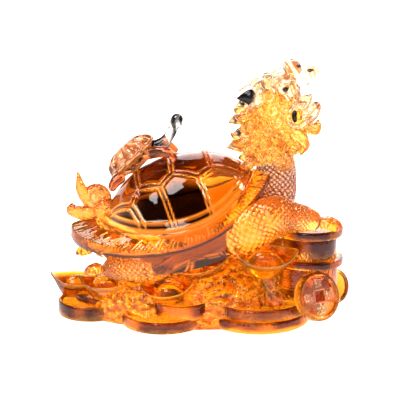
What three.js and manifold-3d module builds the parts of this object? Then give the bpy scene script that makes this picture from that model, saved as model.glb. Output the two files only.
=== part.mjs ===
// Dragon turtle with a young turtle on its back, standing on a heap of coins and boat-shaped
// ingots. The whole figure is one casting of amber glass, so it is one solid.
// Millimetres. +Z is up and +X runs towards the dragon's head. The origin is the centre of the
// flat underside.

import * as THREE from 'three';
import { mergeVertices } from 'three/addons/utils/BufferGeometryUtils.js';
import Module from 'manifold-3d';

const wasm = await Module();
wasm.setup();

// Carapace, in its own frame: u towards the head, v to the figure's left, w out of the back
const SHELL_X = -14.5;
const SHELL_HEIGHT = 55.5;
const SHELL_PITCH = 12.8;
const RIM_HALF_LENGTH = 52.3;
const RIM_HALF_WIDTH = 36.5;
const RIM_DROOP = 14;
const RIM_THICKNESS = 2.4;
const TAIL_RIM_THICKNESS = 6.5;
const DOME_HALF_LENGTH = 37.5;
const DOME_HALF_WIDTH = 34.5;
const DOME_FORWARD = 4.6;
const DOME_HEIGHT = 22.5;
const DOME_DROOP = 7.3;
const FRONT_LIFT = 6.5;
const BELLY_DEPTH = 21;
const SEAM_WIDTH = 2.4;
const SEAM_HEIGHT = 1;

// Heap that everything stands on
const HEAP_HALF_LENGTH = 60;
const HEAP_HALF_WIDTH = 33;
const HEAP_HEIGHT = 31;
const HEAP_Y = 3;

// Coins
const COIN_RIM_WIDTH = 1.7;
const COIN_RIM_HEIGHT = 0.6;
const FRONT_STACK_X = 53.4;
const FRONT_STACK_Y = -9;
const FAR_STACK_X = 47;
const FAR_STACK_Y = 21;
const LUCKY_COIN_RADIUS = 11.8;
const LUCKY_COIN_THICKNESS = 5;
const LUCKY_COIN_HOLE = 5;
const LUCKY_COIN_CENTRE = [57.3, -29, 16.5];
const LUCKY_COIN_YAW = 30;
const LUCKY_COIN_LEAN = 18;
const LEANING_COIN_RADIUS = 9;
const LEANING_COIN_THICKNESS = 5;
const LEANING_COIN_CENTRE = [67.6, 4, 11.2];
const LEANING_COIN_FACING = [0.55, -0.8, 0.22];

// Where the front feet end along the figure
const NEAR_REACH = 58;
const FAR_REACH = 51;

// Young turtle, along the line of its own shell rim. It sits at the given share of the way back
// from the crown of the carapace, and its rim is that much steeper than the carapace.
const YOUNG_LENGTH = 27.5;
const YOUNG_WIDTH = 19;
const YOUNG_DOME = 7;
const YOUNG_BODY = 7;
const YOUNG_RIBS = 7;
const YOUNG_PLACE = 0.5;
const YOUNG_STEEPER = 29.2;

// How finely the round forms are faceted
const SHELL_SIDES = 22;
const COIN_SIDES = 14;
const INGOT_SIDES = 8;
const LIMB_SIDES = 6;
const CURL_SIDES = 8;
const WELD = 1e-4;

const UP = new THREE.Vector3(0, 0, 1);
const radians = THREE.MathUtils.degToRad;
const mix = THREE.MathUtils.lerp;

// Merges the seams of a geometry, drops the flat triangles left on its axis and moves every
// corner by the warp, which changes the vector that it is given.
function solid(geometry, warp = () => {}) {
  geometry.deleteAttribute('normal');
  geometry.deleteAttribute('uv');
  const merged = mergeVertices(geometry, WELD);
  const places = merged.attributes.position;
  const corner = new THREE.Vector3();
  for (let i = 0; i < places.count; i += 1) {
    corner.fromBufferAttribute(places, i);
    warp(corner);
    places.setXYZ(i, corner.x, corner.y, corner.z);
  }
  const kept = [];
  const index = merged.index.array;
  for (let i = 0; i < index.length; i += 3) {
    const [a, b, c] = [index[i], index[i + 1], index[i + 2]];
    if (a !== b && b !== c && a !== c) kept.push(a, b, c);
  }
  return new wasm.Manifold(new wasm.Mesh({
    numProp: 3,
    vertProperties: new Float32Array(places.array),
    triVerts: new Uint32Array(kept),
  }));
}

function joined(solids) {
  return solids.reduce((whole, next) => whole.add(next));
}

// The turn that carries +Z to the given direction
function turnTo(direction) {
  return new THREE.Quaternion().setFromUnitVectors(UP, direction.clone().normalize());
}

function ball(centre, radii, turn = [0, 0, 0], sides = 7, rings = 5) {
  const [rx, ry, rz] = radii;
  const frame = new THREE.Matrix4().makeRotationFromEuler(
    new THREE.Euler(radians(turn[0]), radians(turn[1]), radians(turn[2])),
  );
  return solid(new THREE.SphereGeometry(1, sides, rings), (p) => {
    p.set(p.x * rx, p.y * ry, p.z * rz).applyMatrix4(frame);
    p.add(new THREE.Vector3(...centre));
  });
}

// A round limb along a smooth curve through the points, with a radius at each of them. The flat
// share makes its section that much lower across the second direction.
function limb(points, radii, sides = LIMB_SIDES, steps = 5, flat = 1) {
  const curve = new THREE.CatmullRomCurve3(points.map((p) => new THREE.Vector3(...p)));
  const frames = curve.computeFrenetFrames(steps, false);
  return solid(new THREE.CylinderGeometry(1, 1, 1, sides, steps), (p) => {
    const along = 0.5 - p.y;
    const step = Math.round(along * steps);
    const place = along * (radii.length - 1);
    const first = Math.min(Math.floor(place), radii.length - 2);
    const radius = mix(radii[first], radii[first + 1], place - first);
    const centre = curve.getPoint(along);
    const across = frames.normals[step].clone().multiplyScalar(p.x * radius);
    const beside = frames.binormals[step].clone().multiplyScalar(p.z * radius * flat);
    p.copy(centre).add(across).add(beside);
  });
}

function spike(base, tip, radius, sides = 4) {
  const from = new THREE.Vector3(...base);
  const axis = new THREE.Vector3(...tip).sub(from);
  const turn = turnTo(axis);
  const length = axis.length();
  return solid(new THREE.ConeGeometry(1, 1, sides), (p) => {
    p.set(p.x * radius, -p.z * radius, (p.y + 0.5) * length).applyQuaternion(turn).add(from);
  });
}

function ring(centre, facing, outer, thickness, sides = CURL_SIDES) {
  const turn = turnTo(new THREE.Vector3(...facing));
  return solid(new THREE.TorusGeometry(outer - thickness, thickness, 4, sides), (p) => {
    p.applyQuaternion(turn).add(new THREE.Vector3(...centre));
  });
}

// The same form on the figure's right, at negative Y, and on its left
function bothSides(make) {
  return [make(-1), make(1)];
}

// Carapace surface: share 0 is the crown, 1 the foot of the dome and 2 the rim
function shellPlan(share, angle) {
  const dome = Math.min(share, 1);
  const flange = Math.max(share - 1, 0);
  const halfLength = DOME_HALF_LENGTH * dome + (RIM_HALF_LENGTH - DOME_HALF_LENGTH) * flange;
  const halfWidth = DOME_HALF_WIDTH * dome + (RIM_HALF_WIDTH - DOME_HALF_WIDTH) * flange;
  const centre = DOME_FORWARD * (1 - flange) + 2 * (1 - dome);
  return [centre + halfLength * Math.cos(angle), halfWidth * Math.sin(angle)];
}

function shellTop(share, angle) {
  const dome = Math.min(share, 1);
  const flange = Math.max(share - 1, 0);
  const side = Math.sin(angle) ** 2;
  const front = Math.max(Math.cos(angle), 0) ** 3;
  const crown = DOME_HEIGHT * (1 - dome ** 2.2) ** 0.82;
  const droop = mix(DOME_DROOP * dome ** 2, RIM_DROOP, flange) * side;
  const lift = FRONT_LIFT * front * dome ** 2;
  return 1.2 * (1 - flange) + crown + lift - droop;
}

function shellUnder(share, angle) {
  const inward = 2 - share;
  const tail = Math.max(-Math.cos(angle), 0) ** 2;
  const thickness = mix(RIM_THICKNESS, TAIL_RIM_THICKNESS, tail);
  const belly = BELLY_DEPTH * THREE.MathUtils.smoothstep(inward, 0.2, 1.15);
  const droop = RIM_DROOP * Math.sin(angle) ** 2 * Math.max(1 - inward / 1.4, 0);
  const lift = FRONT_LIFT * Math.max(Math.cos(angle), 0) ** 3 * share / 2;
  return lift - thickness - belly - droop;
}

const shellFrame = new THREE.Matrix4()
  .makeTranslation(SHELL_X, 0, SHELL_HEIGHT)
  .multiply(new THREE.Matrix4().makeRotationY(radians(-SHELL_PITCH)));

function onShell(u, v, w) {
  return new THREE.Vector3(u, v, w).applyMatrix4(shellFrame);
}

function carapace() {
  const upper = [0, 0.25, 0.5, 0.7, 0.86, 0.96, 1.04, 1.45, 1.92];
  const lower = [1.92, 1.6, 1.25, 0.9];
  const profile = [new THREE.Vector2(0, -1)];
  for (const share of [...lower].reverse()) profile.push(new THREE.Vector2(share, -1));
  profile.push(new THREE.Vector2(2, 0));
  for (const share of [...upper].reverse()) profile.push(new THREE.Vector2(share, 1));
  return solid(new THREE.LatheGeometry(profile, SHELL_SIDES), (p) => {
    const share = Math.hypot(p.x, p.z);
    const angle = Math.atan2(-p.z, p.x);
    const [u, v] = shellPlan(share, angle);
    const top = shellTop(share, angle);
    const under = shellUnder(share, angle);
    const w = p.y > 0.5 ? top : p.y < -0.5 ? under : (top + under) / 2;
    p.copy(onShell(u, v, w));
  });
}

// Turns a place in the plan of the dome, both ways from -1 to 1, into a share and an angle
function domeShare(x, y) {
  return [Math.min(Math.hypot(x, y), 1), Math.atan2(y, x)];
}

// A raised seam over the dome between two places in its plan
function seam(from, to, steps = 3) {
  const places = [];
  for (let i = 0; i <= steps; i += 1) {
    const x = mix(from[0], to[0], i / steps);
    const y = mix(from[1], to[1], i / steps);
    const [share, angle] = domeShare(x, y);
    const [u, v] = shellPlan(share, angle);
    places.push(onShell(u, v, shellTop(share, angle)));
  }
  return bar(places, SEAM_WIDTH, SEAM_HEIGHT);
}

// A low bar of triangular section that follows places on the carapace
function bar(places, width, height) {
  const curve = new THREE.CatmullRomCurve3(places);
  const steps = places.length - 1;
  const heart = onShell(0, 0, -30);
  return solid(new THREE.CylinderGeometry(1, 1, 1, 3, steps), (p) => {
    const along = 0.5 - p.y;
    const centre = curve.getPoint(along);
    const ahead = curve.getTangent(along);
    const out = centre.clone().sub(heart).normalize();
    const across = new THREE.Vector3().crossVectors(ahead, out).normalize();
    const angle = Math.atan2(p.x, p.z);
    const middle = Math.hypot(p.x, p.z) < 0.5 ? 0 : 1;
    centre.addScaledVector(across, -middle * Math.sin(angle) * width * 0.58);
    centre.addScaledVector(out, middle * Math.cos(angle) * height);
    p.copy(centre);
  });
}

// Seams between the large scutes, from one half's places in the plan of the dome
function scuteSeams() {
  const sidePlaces = [[-0.95, 0.3], [-0.6, 0.6], [-0.45, 0.5], [-0.18, 0.62], [0, 0.5],
    [0.32, 0.58], [0.5, 0.43], [0.92, 0.36]];
  const feet = { 1: -0.46, 3: -0.07, 5: 0.42 };
  const seams = [];
  for (const side of [-1, 1]) {
    const line = sidePlaces.map(([x, y]) => [x, side * y]);
    for (let i = 1; i < line.length; i += 1) seams.push(seam(line[i - 1], line[i], i > 6 ? 2 : 1));
    for (const [start, x] of Object.entries(feet)) {
      seams.push(seam(line[start], [x, side * Math.sqrt(1 - x * x)], 2));
    }
  }
  for (const place of [2, 4, 6]) {
    const [x, y] = sidePlaces[place];
    for (const side of [-1, 1]) seams.push(seam([x, side * y], [x - 0.06, 0], 1));
  }
  return seams;
}

// A coin standing on the height given, with a raised rim where its face shows
function coin(x, y, radius, bottom, thickness, rimmed = false) {
  const top = thickness;
  const face = top - COIN_RIM_HEIGHT;
  const inner = radius - COIN_RIM_WIDTH;
  const profile = rimmed
    ? [[0, 0], [radius, 0], [radius, top], [inner, top], [inner - COIN_RIM_HEIGHT, face], [0, face]]
    : [[0, 0], [radius, 0], [radius, top], [0, top]];
  const outline = profile.map(([r, z]) => new THREE.Vector2(r, z));
  return solid(new THREE.LatheGeometry(outline, COIN_SIDES), (p) => {
    p.set(p.x + x, -p.z + y, p.y + bottom);
  });
}

// Coins on top of each other, each given as offset, offset, radius and thickness
function stack(x, y, bottom, layers) {
  let height = bottom;
  const coins = layers.map(([dx, dy, radius, thickness], i) => {
    const made = coin(x + dx, y + dy, radius, height, thickness, i === layers.length - 1);
    height += thickness;
    return made;
  });
  return { coins, top: height };
}

// A boat-shaped ingot: flared hull, raised pointed ends and a rounded boss inside the rim
function ingot(centre, length, width, height, turn, boss = 1) {
  const profile = [[0, 0], [0.42, 0], [0.74, 0.45], [1, 0.88], [0.9, 0.88],
    [0.62, 0.6], [0.46, 0.86 * boss], [0, 1.08 * boss]];
  const outline = profile.map(([r, z]) => new THREE.Vector2(r, z));
  const frame = new THREE.Matrix4().makeRotationFromEuler(
    new THREE.Euler(radians(turn[0]), radians(turn[1]), radians(turn[2]), 'ZYX'),
  );
  return solid(new THREE.LatheGeometry(outline, INGOT_SIDES), (p) => {
    const share = Math.hypot(p.x, p.z);
    const angle = Math.atan2(-p.z, p.x);
    const beside = Math.sin(angle);
    const ahead = Math.cos(angle);
    const rise = share > 0.6 ? 0.42 * (share - 0.3) * ahead ** 4 * height : 0;
    const narrow = mix(1, Math.abs(beside) ** 0.35, Math.min(share, 1) ** 2);
    p.set(share * ahead * length / 2, share * beside * narrow * width / 2, p.y * height + rise);
    p.applyMatrix4(frame).add(new THREE.Vector3(...centre));
  });
}

function heap() {
  const profile = [[0, 0], [1, 0], [0.98, 0.22], [0.92, 0.46], [0.8, 0.68], [0.6, 0.86],
    [0.3, 0.97], [0, 1]];
  const outline = profile.map(([r, z]) => new THREE.Vector2(r, z));
  return solid(new THREE.LatheGeometry(outline, 16), (p) => {
    const angle = Math.atan2(-p.z, p.x);
    const lumps = 1 + 0.05 * Math.sin(5 * angle + 1) * Math.min(p.y * 4, 1);
    p.set(p.x * HEAP_HALF_LENGTH * lumps, -p.z * HEAP_HALF_WIDTH * lumps + HEAP_Y, p.y * HEAP_HEIGHT);
  });
}

// The coin with the square hole, which leans against the front of the heap
function luckyCoin() {
  const flat = coin(0, 0, LUCKY_COIN_RADIUS, 0, LUCKY_COIN_THICKNESS, true);
  const face = LUCKY_COIN_THICKNESS - COIN_RIM_HEIGHT;
  const recess = solid(new THREE.BoxGeometry(LUCKY_COIN_HOLE, LUCKY_COIN_HOLE, 2), (p) => {
    p.z += face + 0.2;
  });
  const strokes = [];
  for (let quarter = 0; quarter < 4; quarter += 1) {
    const out = new THREE.Matrix4().makeRotationZ(quarter * Math.PI / 2);
    for (const [dx, dy, length] of [[-1.3, 0, 3.4], [1.3, 0.4, 3]]) {
      strokes.push(solid(new THREE.BoxGeometry(0.7, length, 1), (p) => {
        p.x += LUCKY_COIN_RADIUS * 0.56 + dx;
        p.y += dy * 0.3;
        p.z += face;
        p.applyMatrix4(out);
      }));
    }
  }
  const made = joined([flat, ...strokes]).subtract(recess);
  const yaw = radians(LUCKY_COIN_YAW);
  const lean = radians(LUCKY_COIN_LEAN);
  const facing = new THREE.Vector3(
    Math.sin(yaw) * Math.cos(lean), -Math.cos(yaw) * Math.cos(lean), Math.sin(lean),
  );
  const side = new THREE.Vector3(Math.cos(yaw), Math.sin(yaw), 0);
  const upward = new THREE.Vector3().crossVectors(facing, side);
  const frame = new THREE.Matrix4().makeBasis(side, upward, facing);
  const centre = new THREE.Vector3(...LUCKY_COIN_CENTRE);
  frame.setPosition(centre.addScaledVector(facing, -LUCKY_COIN_THICKNESS));
  return made.transform(frame.elements);
}

function coinsAndIngots() {
  const front = stack(FRONT_STACK_X, FRONT_STACK_Y, 11, [
    [-2, 1, 16.5, 16.7], [0.1, 0, 17, 4], [0.1, -1, 13.5, 10.6], [0, 0, 16.7, 4.2],
  ]);
  const far = stack(FAR_STACK_X, FAR_STACK_Y, 6, [[-2, 1, 18, 15], [0.5, 0, 15, 14]]);
  const flat = [
    coin(-54, -2, 17.5, 0, 7, true),
    coin(-50, -2, 12.5, 6.5, 3.6),
    coin(-18, -17, 20.7, 0, 5.6, true),
    coin(-8.9, -18.5, 14.5, 5, 7.2, true),
    coin(28, -11.5, 26, 0, 5.4),
    coin(29, -10.5, 25, 5, 6, true),
    coin(-38, 20, 20, 0, 6),
    coin(-4, 25, 20, 0, 6.5),
    coin(34, 22, 22, 0, 7),
  ];
  const disc = new THREE.CylinderGeometry(
    LEANING_COIN_RADIUS, LEANING_COIN_RADIUS, LEANING_COIN_THICKNESS, COIN_SIDES,
  );
  const leaning = solid(disc, (p) => {
    p.applyQuaternion(turnTo(new THREE.Vector3(...LEANING_COIN_FACING)));
    p.add(new THREE.Vector3(...LEANING_COIN_CENTRE));
  });
  const ingots = [
    ingot([30.5, -26.5, 26], 31, 18, 13.5, [22, 2, 0]),
    ingot([-46.8, -13, 10], 25.5, 15, 10, [8, 0, 0], 1.15),
    ingot([-63, 6, 4.5], 31, 16, 12, [10, 8, 14]),
    ingot([-14.8, -24, 11.5], 26, 16, 10, [18, -6, 0]),
    ingot([1, -17.5, 24], 34, 20, 11, [26, -11, 0]),
    ingot([6, 33, 13], 30, 17, 12, [-20, 0, -6]),
  ];
  const stem = limb([[33, -24, 28], [34, -27, 20], [37, -26, 10]], [6, 3.6, 7]);
  return {
    solids: [...front.coins, ...far.coins, ...flat, leaning, luckyCoin(), ...ingots, stem],
    nearTop: front.top,
    farTop: far.top,
  };
}

// Toes and claws at the end of a foot that points along the direction, in the ground plane
function toes(ankle, direction, spread, length, radius) {
  const heading = Math.atan2(direction[1], direction[0]);
  return [-1, 0, 1].map((place) => {
    const angle = heading + place * radians(spread);
    const reach = length * (1 - 0.15 * Math.abs(place));
    const tip = [
      ankle[0] + Math.cos(angle) * reach,
      ankle[1] + Math.sin(angle) * reach,
      ankle[2] - radius * 0.7,
    ];
    const middle = [(ankle[0] + tip[0]) / 2, (ankle[1] + tip[1]) / 2, ankle[2] + radius * 0.2];
    return limb([ankle, middle, tip], [radius * 1.2, radius * 1.1, radius * 0.3], 3, 2);
  });
}

// The leg comes out from under the front of the carapace and is set down on a stack of coins
function frontLeg(side, standing, reach) {
  const sole = standing + 3.2;
  const path = [
    [4, side * 19, standing - 5], [20, side * 20, standing], [reach - 23, side * 21.5, standing + 7.2],
    [reach - 11, side * 21.5, standing + 6.8], [reach, side * 20.5, sole + 1.2],
  ];
  return [
    limb(path, [10, 12.5, 10, 6.8, 4], LIMB_SIDES, 4),
    ...toes([reach - 1, side * 20.5, sole], [1, side * 0.05], 24, 11.5, 2.8),
  ];
}

function rearLeg(side, heading, foot) {
  const path = [
    [-12, side * 18, 34], [-25, side * 22, 32], mixPoint([-25, side * 22, 32], foot, 0.55), foot,
  ];
  return [
    limb(path, [9, 10, 6.6, 4], 6, 3),
    ...toes(foot, heading, 26, 9, 2.4),
  ];
}

function mixPoint(a, b, share) {
  return a.map((value, i) => mix(value, b[i], share));
}

function body() {
  const chest = ball([26, 0, 48], [18, 22, 12], [0, -20, 0], 9, 6);
  const neck = limb(
    [[30, 0, 46], [36.5, 0, 58], [38.2, 0, 68], [36.5, 0, 78], [35, 0, 88]],
    [13, 10, 9, 9.4, 10], 8, 4,
  );
  return [chest, neck];
}

// The mass of the mane, furrowed into locks that wind round it
function mane() {
  return solid(new THREE.SphereGeometry(1, 16, 7), (p) => {
    const angle = Math.atan2(p.y, p.x);
    const furrow = 1 + 0.06 * Math.cos(8 * angle + 5 * p.z) * (1 - p.z ** 4);
    p.set(p.x * 11 * furrow + 30.5, p.y * 14 * furrow, p.z * 16.5 + 90);
  });
}

// Head of the dragon, looking up and forward with its mouth open
function head() {
  const middle = [
    ball([35.5, 0, 100], [10.5, 12, 14], [0, 12, 0], 7, 5),
    mane(),
    limb([[36, 0, 104], [41, 0, 112], [45.5, 0, 118]], [10, 8.2, 6.4], 6, 2),
    ball([53.6, 0, 120.4], [4, 6.2, 4.2], [0, 30, 0]),
    limb([[44, 0, 119], [49, 0, 117.6], [54, 0, 118.6]], [6, 4.6, 4], 7, 2),
    limb([[40, 0, 98], [48, 0, 99.5], [54, 0, 102], [58.4, 0, 105.2]], [9, 7, 5, 1.6], 6, 3),
    limb([[44, 0, 104], [50, 0, 106], [54.5, 0, 109.5]], [4.5, 3.4, 1.2], 5, 2),
  ];
  const spikes = [
    [27, 0, 106, 17, 0, 103.4, 3.4], [25, 0, 98, 13.6, 0, 95.6, 4],
    [25, 0, 91, 15.8, 0, 89.6, 3.4], [24, 0, 84, 13, 0, 83.2, 4],
  ].map(([x, y, z, tx, ty, tz, r]) => spike([x, y, z], [tx, ty, tz], r));
  const sides = bothSides((side) => {
    const curls = [
      [38.1, 12.6, 86.4, 4.8], [29.4, 13.6, 96.5, 4.8], [38.6, 11.3, 107.8, 4],
    ].map(([x, y, z, r]) => ball([x, side * y, z], [r, 2.2, r], [0, 0, 0], 6, 4));
    const locks = [
      [[26, 9, 104], [20, 10, 100], [16.5, 9, 101], 3],
      [[25, 10, 92], [19, 11, 87.5], [15, 10, 88.5], 3],
      [[27, 10, 81], [22.5, 11, 77], [19, 10, 76.2], 3],
      [[40, 10, 84], [42.5, 11.5, 77.5], [35.5, 11.5, 74.2], 2.6],
      [[44, 7, 93], [50.5, 6.5, 87], [48.6, 5, 80.2], 3.2],
      [[48, 6, 97], [55.5, 5, 92.5], [58.5, 4, 96.6], 2.8],
    ].map(([a, b, c, r]) => limb(
      [a, b, c].map(([x, y, z]) => [x, side * y, z]), [r * 1.1, r * 0.95, r * 0.2], 3, 2,
    ));
    return [
      ball([44.4, side * 3.9, 122.6], [4.4, 3.8, 4.6], [0, 0, 0], 6, 4),
      ball([40.2, side * 8.6, 113.4], [3, 2.6, 3], [0, 0, 0], 6, 4),
      limb([[34, side * 8, 114], [39.5, side * 9.2, 118.4], [46, side * 6.5, 117]], [2.6, 2.7, 1], 4, 2),
      ball([32.6, side * 4, 116.2], [4, 3.4, 3.8], [0, 0, 0], 6, 4),
      limb([[35, side * 5, 116], [27.5, side * 7.5, 114], [24.5, side * 9.5, 104.5],
        [22, side * 10, 99]], [2.9, 2.6, 2, 0.6], 4, 2),
      limb([[30, side * 8, 107.5], [24, side * 9.5, 109.4], [17.4, side * 9, 108.8]], [1.6, 4, 0.4],
        6, 3, 0.5),
      ring([46.6, side * 8.2, 100.2], [0.35, side, 0.1], 6, 1.4, 8),
      ball([46.6, side * 7.8, 100.2], [2.7, 2.6, 3.7], [0, 0, 0], 6, 4),
      ...curls,
      ...locks,
    ];
  }).flat();
  return [...middle, ...spikes, ...sides];
}

// Tail: a cloud-shaped tuft turned up over the back of the carapace, given from the rear foot of
// the dome
function tail() {
  const [rear] = shellPlan(1, Math.PI);
  const foot = onShell(rear, 0, shellTop(1, Math.PI));
  const from = (x, z) => [foot.x + x, 0, foot.z + z];
  return [
    limb([from(8.8, 0.6), from(-0.2, 2.6), from(-6.2, 4.6)], [7, 6, 6], 7, 2),
    ball(from(-4.2, 8.8), [7.5, 3.6, 7.3], [0, 0, 0], 8, 6),
    limb([from(-7.2, 6.6), from(-11.6, 12.6), from(-13.4, 22)], [4, 3, 0.7], LIMB_SIDES, 3),
    limb([from(-3.2, 2.1), from(-11.2, 1.1), from(-16.7, 2.6), from(-15.7, 6.1)], [4, 3.6, 3, 1],
      LIMB_SIDES, 4),
  ];
}

// Young turtle climbing over the crown of the carapace
function youngTurtle() {
  const [back] = shellPlan(YOUNG_PLACE, Math.PI);
  const clear = shellTop(YOUNG_PLACE, Math.PI) + YOUNG_BODY * 1.1;
  const frame = new THREE.Matrix4().makeRotationY(-radians(SHELL_PITCH + YOUNG_STEEPER));
  frame.setPosition(onShell(back, 0, clear));
  const place = (a, b, c) => new THREE.Vector3(a, b, c).applyMatrix4(frame).toArray();
  const half = YOUNG_LENGTH / 2;
  const profile = [[0, -1], [0.7, -0.7], [0.93, -0.12], [1.04, -0.02], [1, 0.14], [0.86, 0.5],
    [0.6, 0.8], [0.3, 0.95], [0, 1]];
  const outline = profile.map(([r, z]) => new THREE.Vector2(r, z));
  const dome = solid(new THREE.LatheGeometry(outline, 2 * YOUNG_RIBS), (p) => {
    const share = Math.hypot(p.x, p.z);
    const angle = Math.atan2(-p.z, p.x);
    const rib = p.y > 0.2 ? 1 + 0.045 * Math.cos(YOUNG_RIBS * angle) : 1;
    const high = p.y > 0 ? YOUNG_DOME : YOUNG_BODY;
    const a = share * rib * Math.cos(angle) * half;
    const b = share * rib * Math.sin(angle) * YOUNG_WIDTH / 2;
    p.set(...place(a, b, p.y * high * rib));
  });
  const neck = limb(
    [place(8, 0, -3), place(14, 0, -5.5), place(19.5, 0, -5), place(25.4, 0, -3)],
    [4.6, 3.6, 2.6, 2.6], 6, 3,
  );
  const skull = limb([place(23.4, 0, -3.9), place(28.6, 0, -1.8), place(31.6, 0, -2.3)], [2.6, 3.3, 1.9],
    LIMB_SIDES, 2);
  const limbs = bothSides((side) => [
    limb([place(8, side * 6, -4), place(15, side * 9, -7.9), place(17.9, side * 11, -13.7)],
      [3, 2.6, 1.4], 4, 2),
    limb([place(-8, side * 6, -4), place(-13.1, side * 8, -3.2), place(-17.9, side * 9, -5)],
      [3, 2.8, 1.8], 4, 2),
  ]).flat();
  return [dome, neck, skull, ...limbs];
}

function figure() {
  const bed = coinsAndIngots();
  const whole = joined([
    carapace(), ...scuteSeams(), heap(), ...bed.solids, ...body(),
    ...frontLeg(-1, bed.nearTop, NEAR_REACH), ...frontLeg(1, bed.farTop, FAR_REACH),
    ...rearLeg(-1, [-1, 0.05], [-47, -23, 27.6]), ...rearLeg(1, [-1, -0.2], [-55, 15, 27]),
    ...head(), ...tail(), ...youngTurtle(),
  ]);
  const below = solid(new THREE.BoxGeometry(400, 400, 60), (p) => {
    p.z -= 30;
  });
  return whole.subtract(below);
}

// The joined solid as a three.js geometry
function geometryOf(made) {
  const mesh = made.getMesh();
  const geometry = new THREE.BufferGeometry();
  const places = new Float32Array(mesh.numVert * 3);
  for (let i = 0; i < mesh.numVert; i += 1) {
    for (let k = 0; k < 3; k += 1) places[i * 3 + k] = mesh.vertProperties[i * mesh.numProp + k];
  }
  geometry.setAttribute('position', new THREE.BufferAttribute(places, 3));
  geometry.setIndex(new THREE.BufferAttribute(new Uint32Array(mesh.triVerts), 1));
  geometry.computeVertexNormals();
  return geometry;
}

const amberGlass = new THREE.MeshStandardMaterial({
  color: 0xe08a1e, roughness: 0.05, metalness: 0, transparent: true, opacity: 0.6,
});

const model = new THREE.Group();
const dragonTurtle = new THREE.Mesh(geometryOf(figure()), amberGlass);
dragonTurtle.name = 'dragon_turtle';
model.add(dragonTurtle);

export default model;
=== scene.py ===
"""Looks of the dragon turtle figure: one casting of clear amber glass on a pale floor."""

import logging
import math
from dataclasses import dataclass, field
from enum import Enum
from typing import Callable, Sequence

import bmesh
import bpy
from mathutils import Euler, Matrix, Vector, noise


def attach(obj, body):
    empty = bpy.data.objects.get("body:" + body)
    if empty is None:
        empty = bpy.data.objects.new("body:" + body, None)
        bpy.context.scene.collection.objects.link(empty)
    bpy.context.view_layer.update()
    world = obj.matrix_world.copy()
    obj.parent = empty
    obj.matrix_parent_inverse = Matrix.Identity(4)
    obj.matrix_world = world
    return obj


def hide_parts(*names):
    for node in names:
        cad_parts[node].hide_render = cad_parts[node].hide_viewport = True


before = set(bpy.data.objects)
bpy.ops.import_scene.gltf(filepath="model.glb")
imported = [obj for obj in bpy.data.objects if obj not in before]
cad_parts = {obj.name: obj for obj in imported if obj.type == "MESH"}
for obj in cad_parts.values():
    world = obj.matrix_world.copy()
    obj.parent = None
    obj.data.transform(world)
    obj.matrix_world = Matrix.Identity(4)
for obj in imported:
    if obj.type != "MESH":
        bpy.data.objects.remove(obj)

LOG = logging.getLogger("dragon_turtle")
MM = 0.001
TAU = 2 * math.pi
GOLDEN_ANGLE = 2.399963
UP = Vector((0, 0, 1))
Point = Sequence[float]
Marks = tuple[float, float]
Place = Callable[[float, float], Vector]
Mark = Callable[[float, float], Marks]
Relief = Callable[[float, float, float], float]
Warp = Callable[[float, float, float], Vector]
LatheMark = Callable[[float, float, float], Marks]
Colour = tuple[float, float, float]
Line = tuple[Vector, Vector]


def mix(a: float, b: float, share: float) -> float:
    """Blends two numbers.

    Args:
        a: Value at share 0.
        b: Value at share 1.
        share: How far from a to b.

    Returns:
        The blended number.
    """
    return a + (b - a) * share


def clamp(value: float, low: float = 0.0, high: float = 1.0) -> float:
    """Keeps a number between two limits.

    Args:
        value: The number.
        low: Lowest result.
        high: Highest result.

    Returns:
        The limited number.
    """
    return max(low, min(high, value))


def smooth(low: float, high: float, value: float) -> float:
    """Rises smoothly from 0 to 1 between two values.

    Args:
        low: Where the rise starts.
        high: Where the rise ends.
        value: The number to look up.

    Returns:
        The share of the rise at the value.
    """
    t = clamp((value - low) / (high - low))
    return t * t * (3 - 2 * t)


def bump(distance: float, width: float) -> float:
    """A rounded ridge of height 1.

    Args:
        distance: Distance from the ridge's middle.
        width: Half width of the ridge.

    Returns:
        The ridge's height at that distance.
    """
    return math.exp(-((distance / width) ** 2))


def turned(degrees: Point, order: str = "XYZ") -> Matrix:
    """Makes a turn from three angles.

    Args:
        degrees: Angles about X, Y and Z in degrees.
        order: Order in which the turns are applied.

    Returns:
        The rotation matrix.
    """
    return Euler([math.radians(d) for d in degrees], order).to_matrix().to_4x4()


def curve_through(points: Sequence[Point], steps: int) -> list[Vector]:
    """Runs a smooth curve through points.

    Args:
        points: Points in millimetres that the curve passes through.
        steps: Number of steps along the curve.

    Returns:
        Steps plus one places along the curve.
    """
    given = [Vector(p) for p in points]
    ends = [given[0] * 2 - given[1], *given, given[-1] * 2 - given[-2]]
    path = []
    for step in range(steps + 1):
        place = step / steps * (len(given) - 1)
        i = min(int(place), len(given) - 2)
        t = place - i
        a, b, c, d = ends[i : i + 4]
        path.append(
            0.5 * (2 * b + (c - a) * t + (2 * a - 5 * b + 4 * c - d) * t**2 + (3 * b - a - 3 * c + d) * t**3)
        )
    return path


def along(values: Sequence[float], share: float) -> float:
    """Looks up a value in an evenly spaced list, smoothly.

    Args:
        values: The listed values.
        share: Place in the list, from 0 to 1.

    Returns:
        The value there.
    """
    place = clamp(share) * (len(values) - 1)
    i = min(int(place), len(values) - 2)
    return mix(values[i], values[i + 1], smooth(0, 1, place - i) * 0.5 + (place - i) * 0.5)


def spread(index: int, height: float) -> Vector:
    """Places one of many evenly spread points on the unit sphere.

    Args:
        index: Number of the point, each a golden angle further round.
        height: Its height, from -1 to 1.

    Returns:
        The place on the sphere.
    """
    angle = index * GOLDEN_ANGLE
    flat = math.sqrt(1 - height * height)
    return Vector((math.cos(angle) * flat, math.sin(angle) * flat, height))


def level(*_: float | Vector) -> float:
    """Adds no height to a place."""
    return 0.0


def unmarked(*_: float) -> Marks:
    """Leaves the colour of a place plain."""
    return 0.0, 0.0


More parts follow.
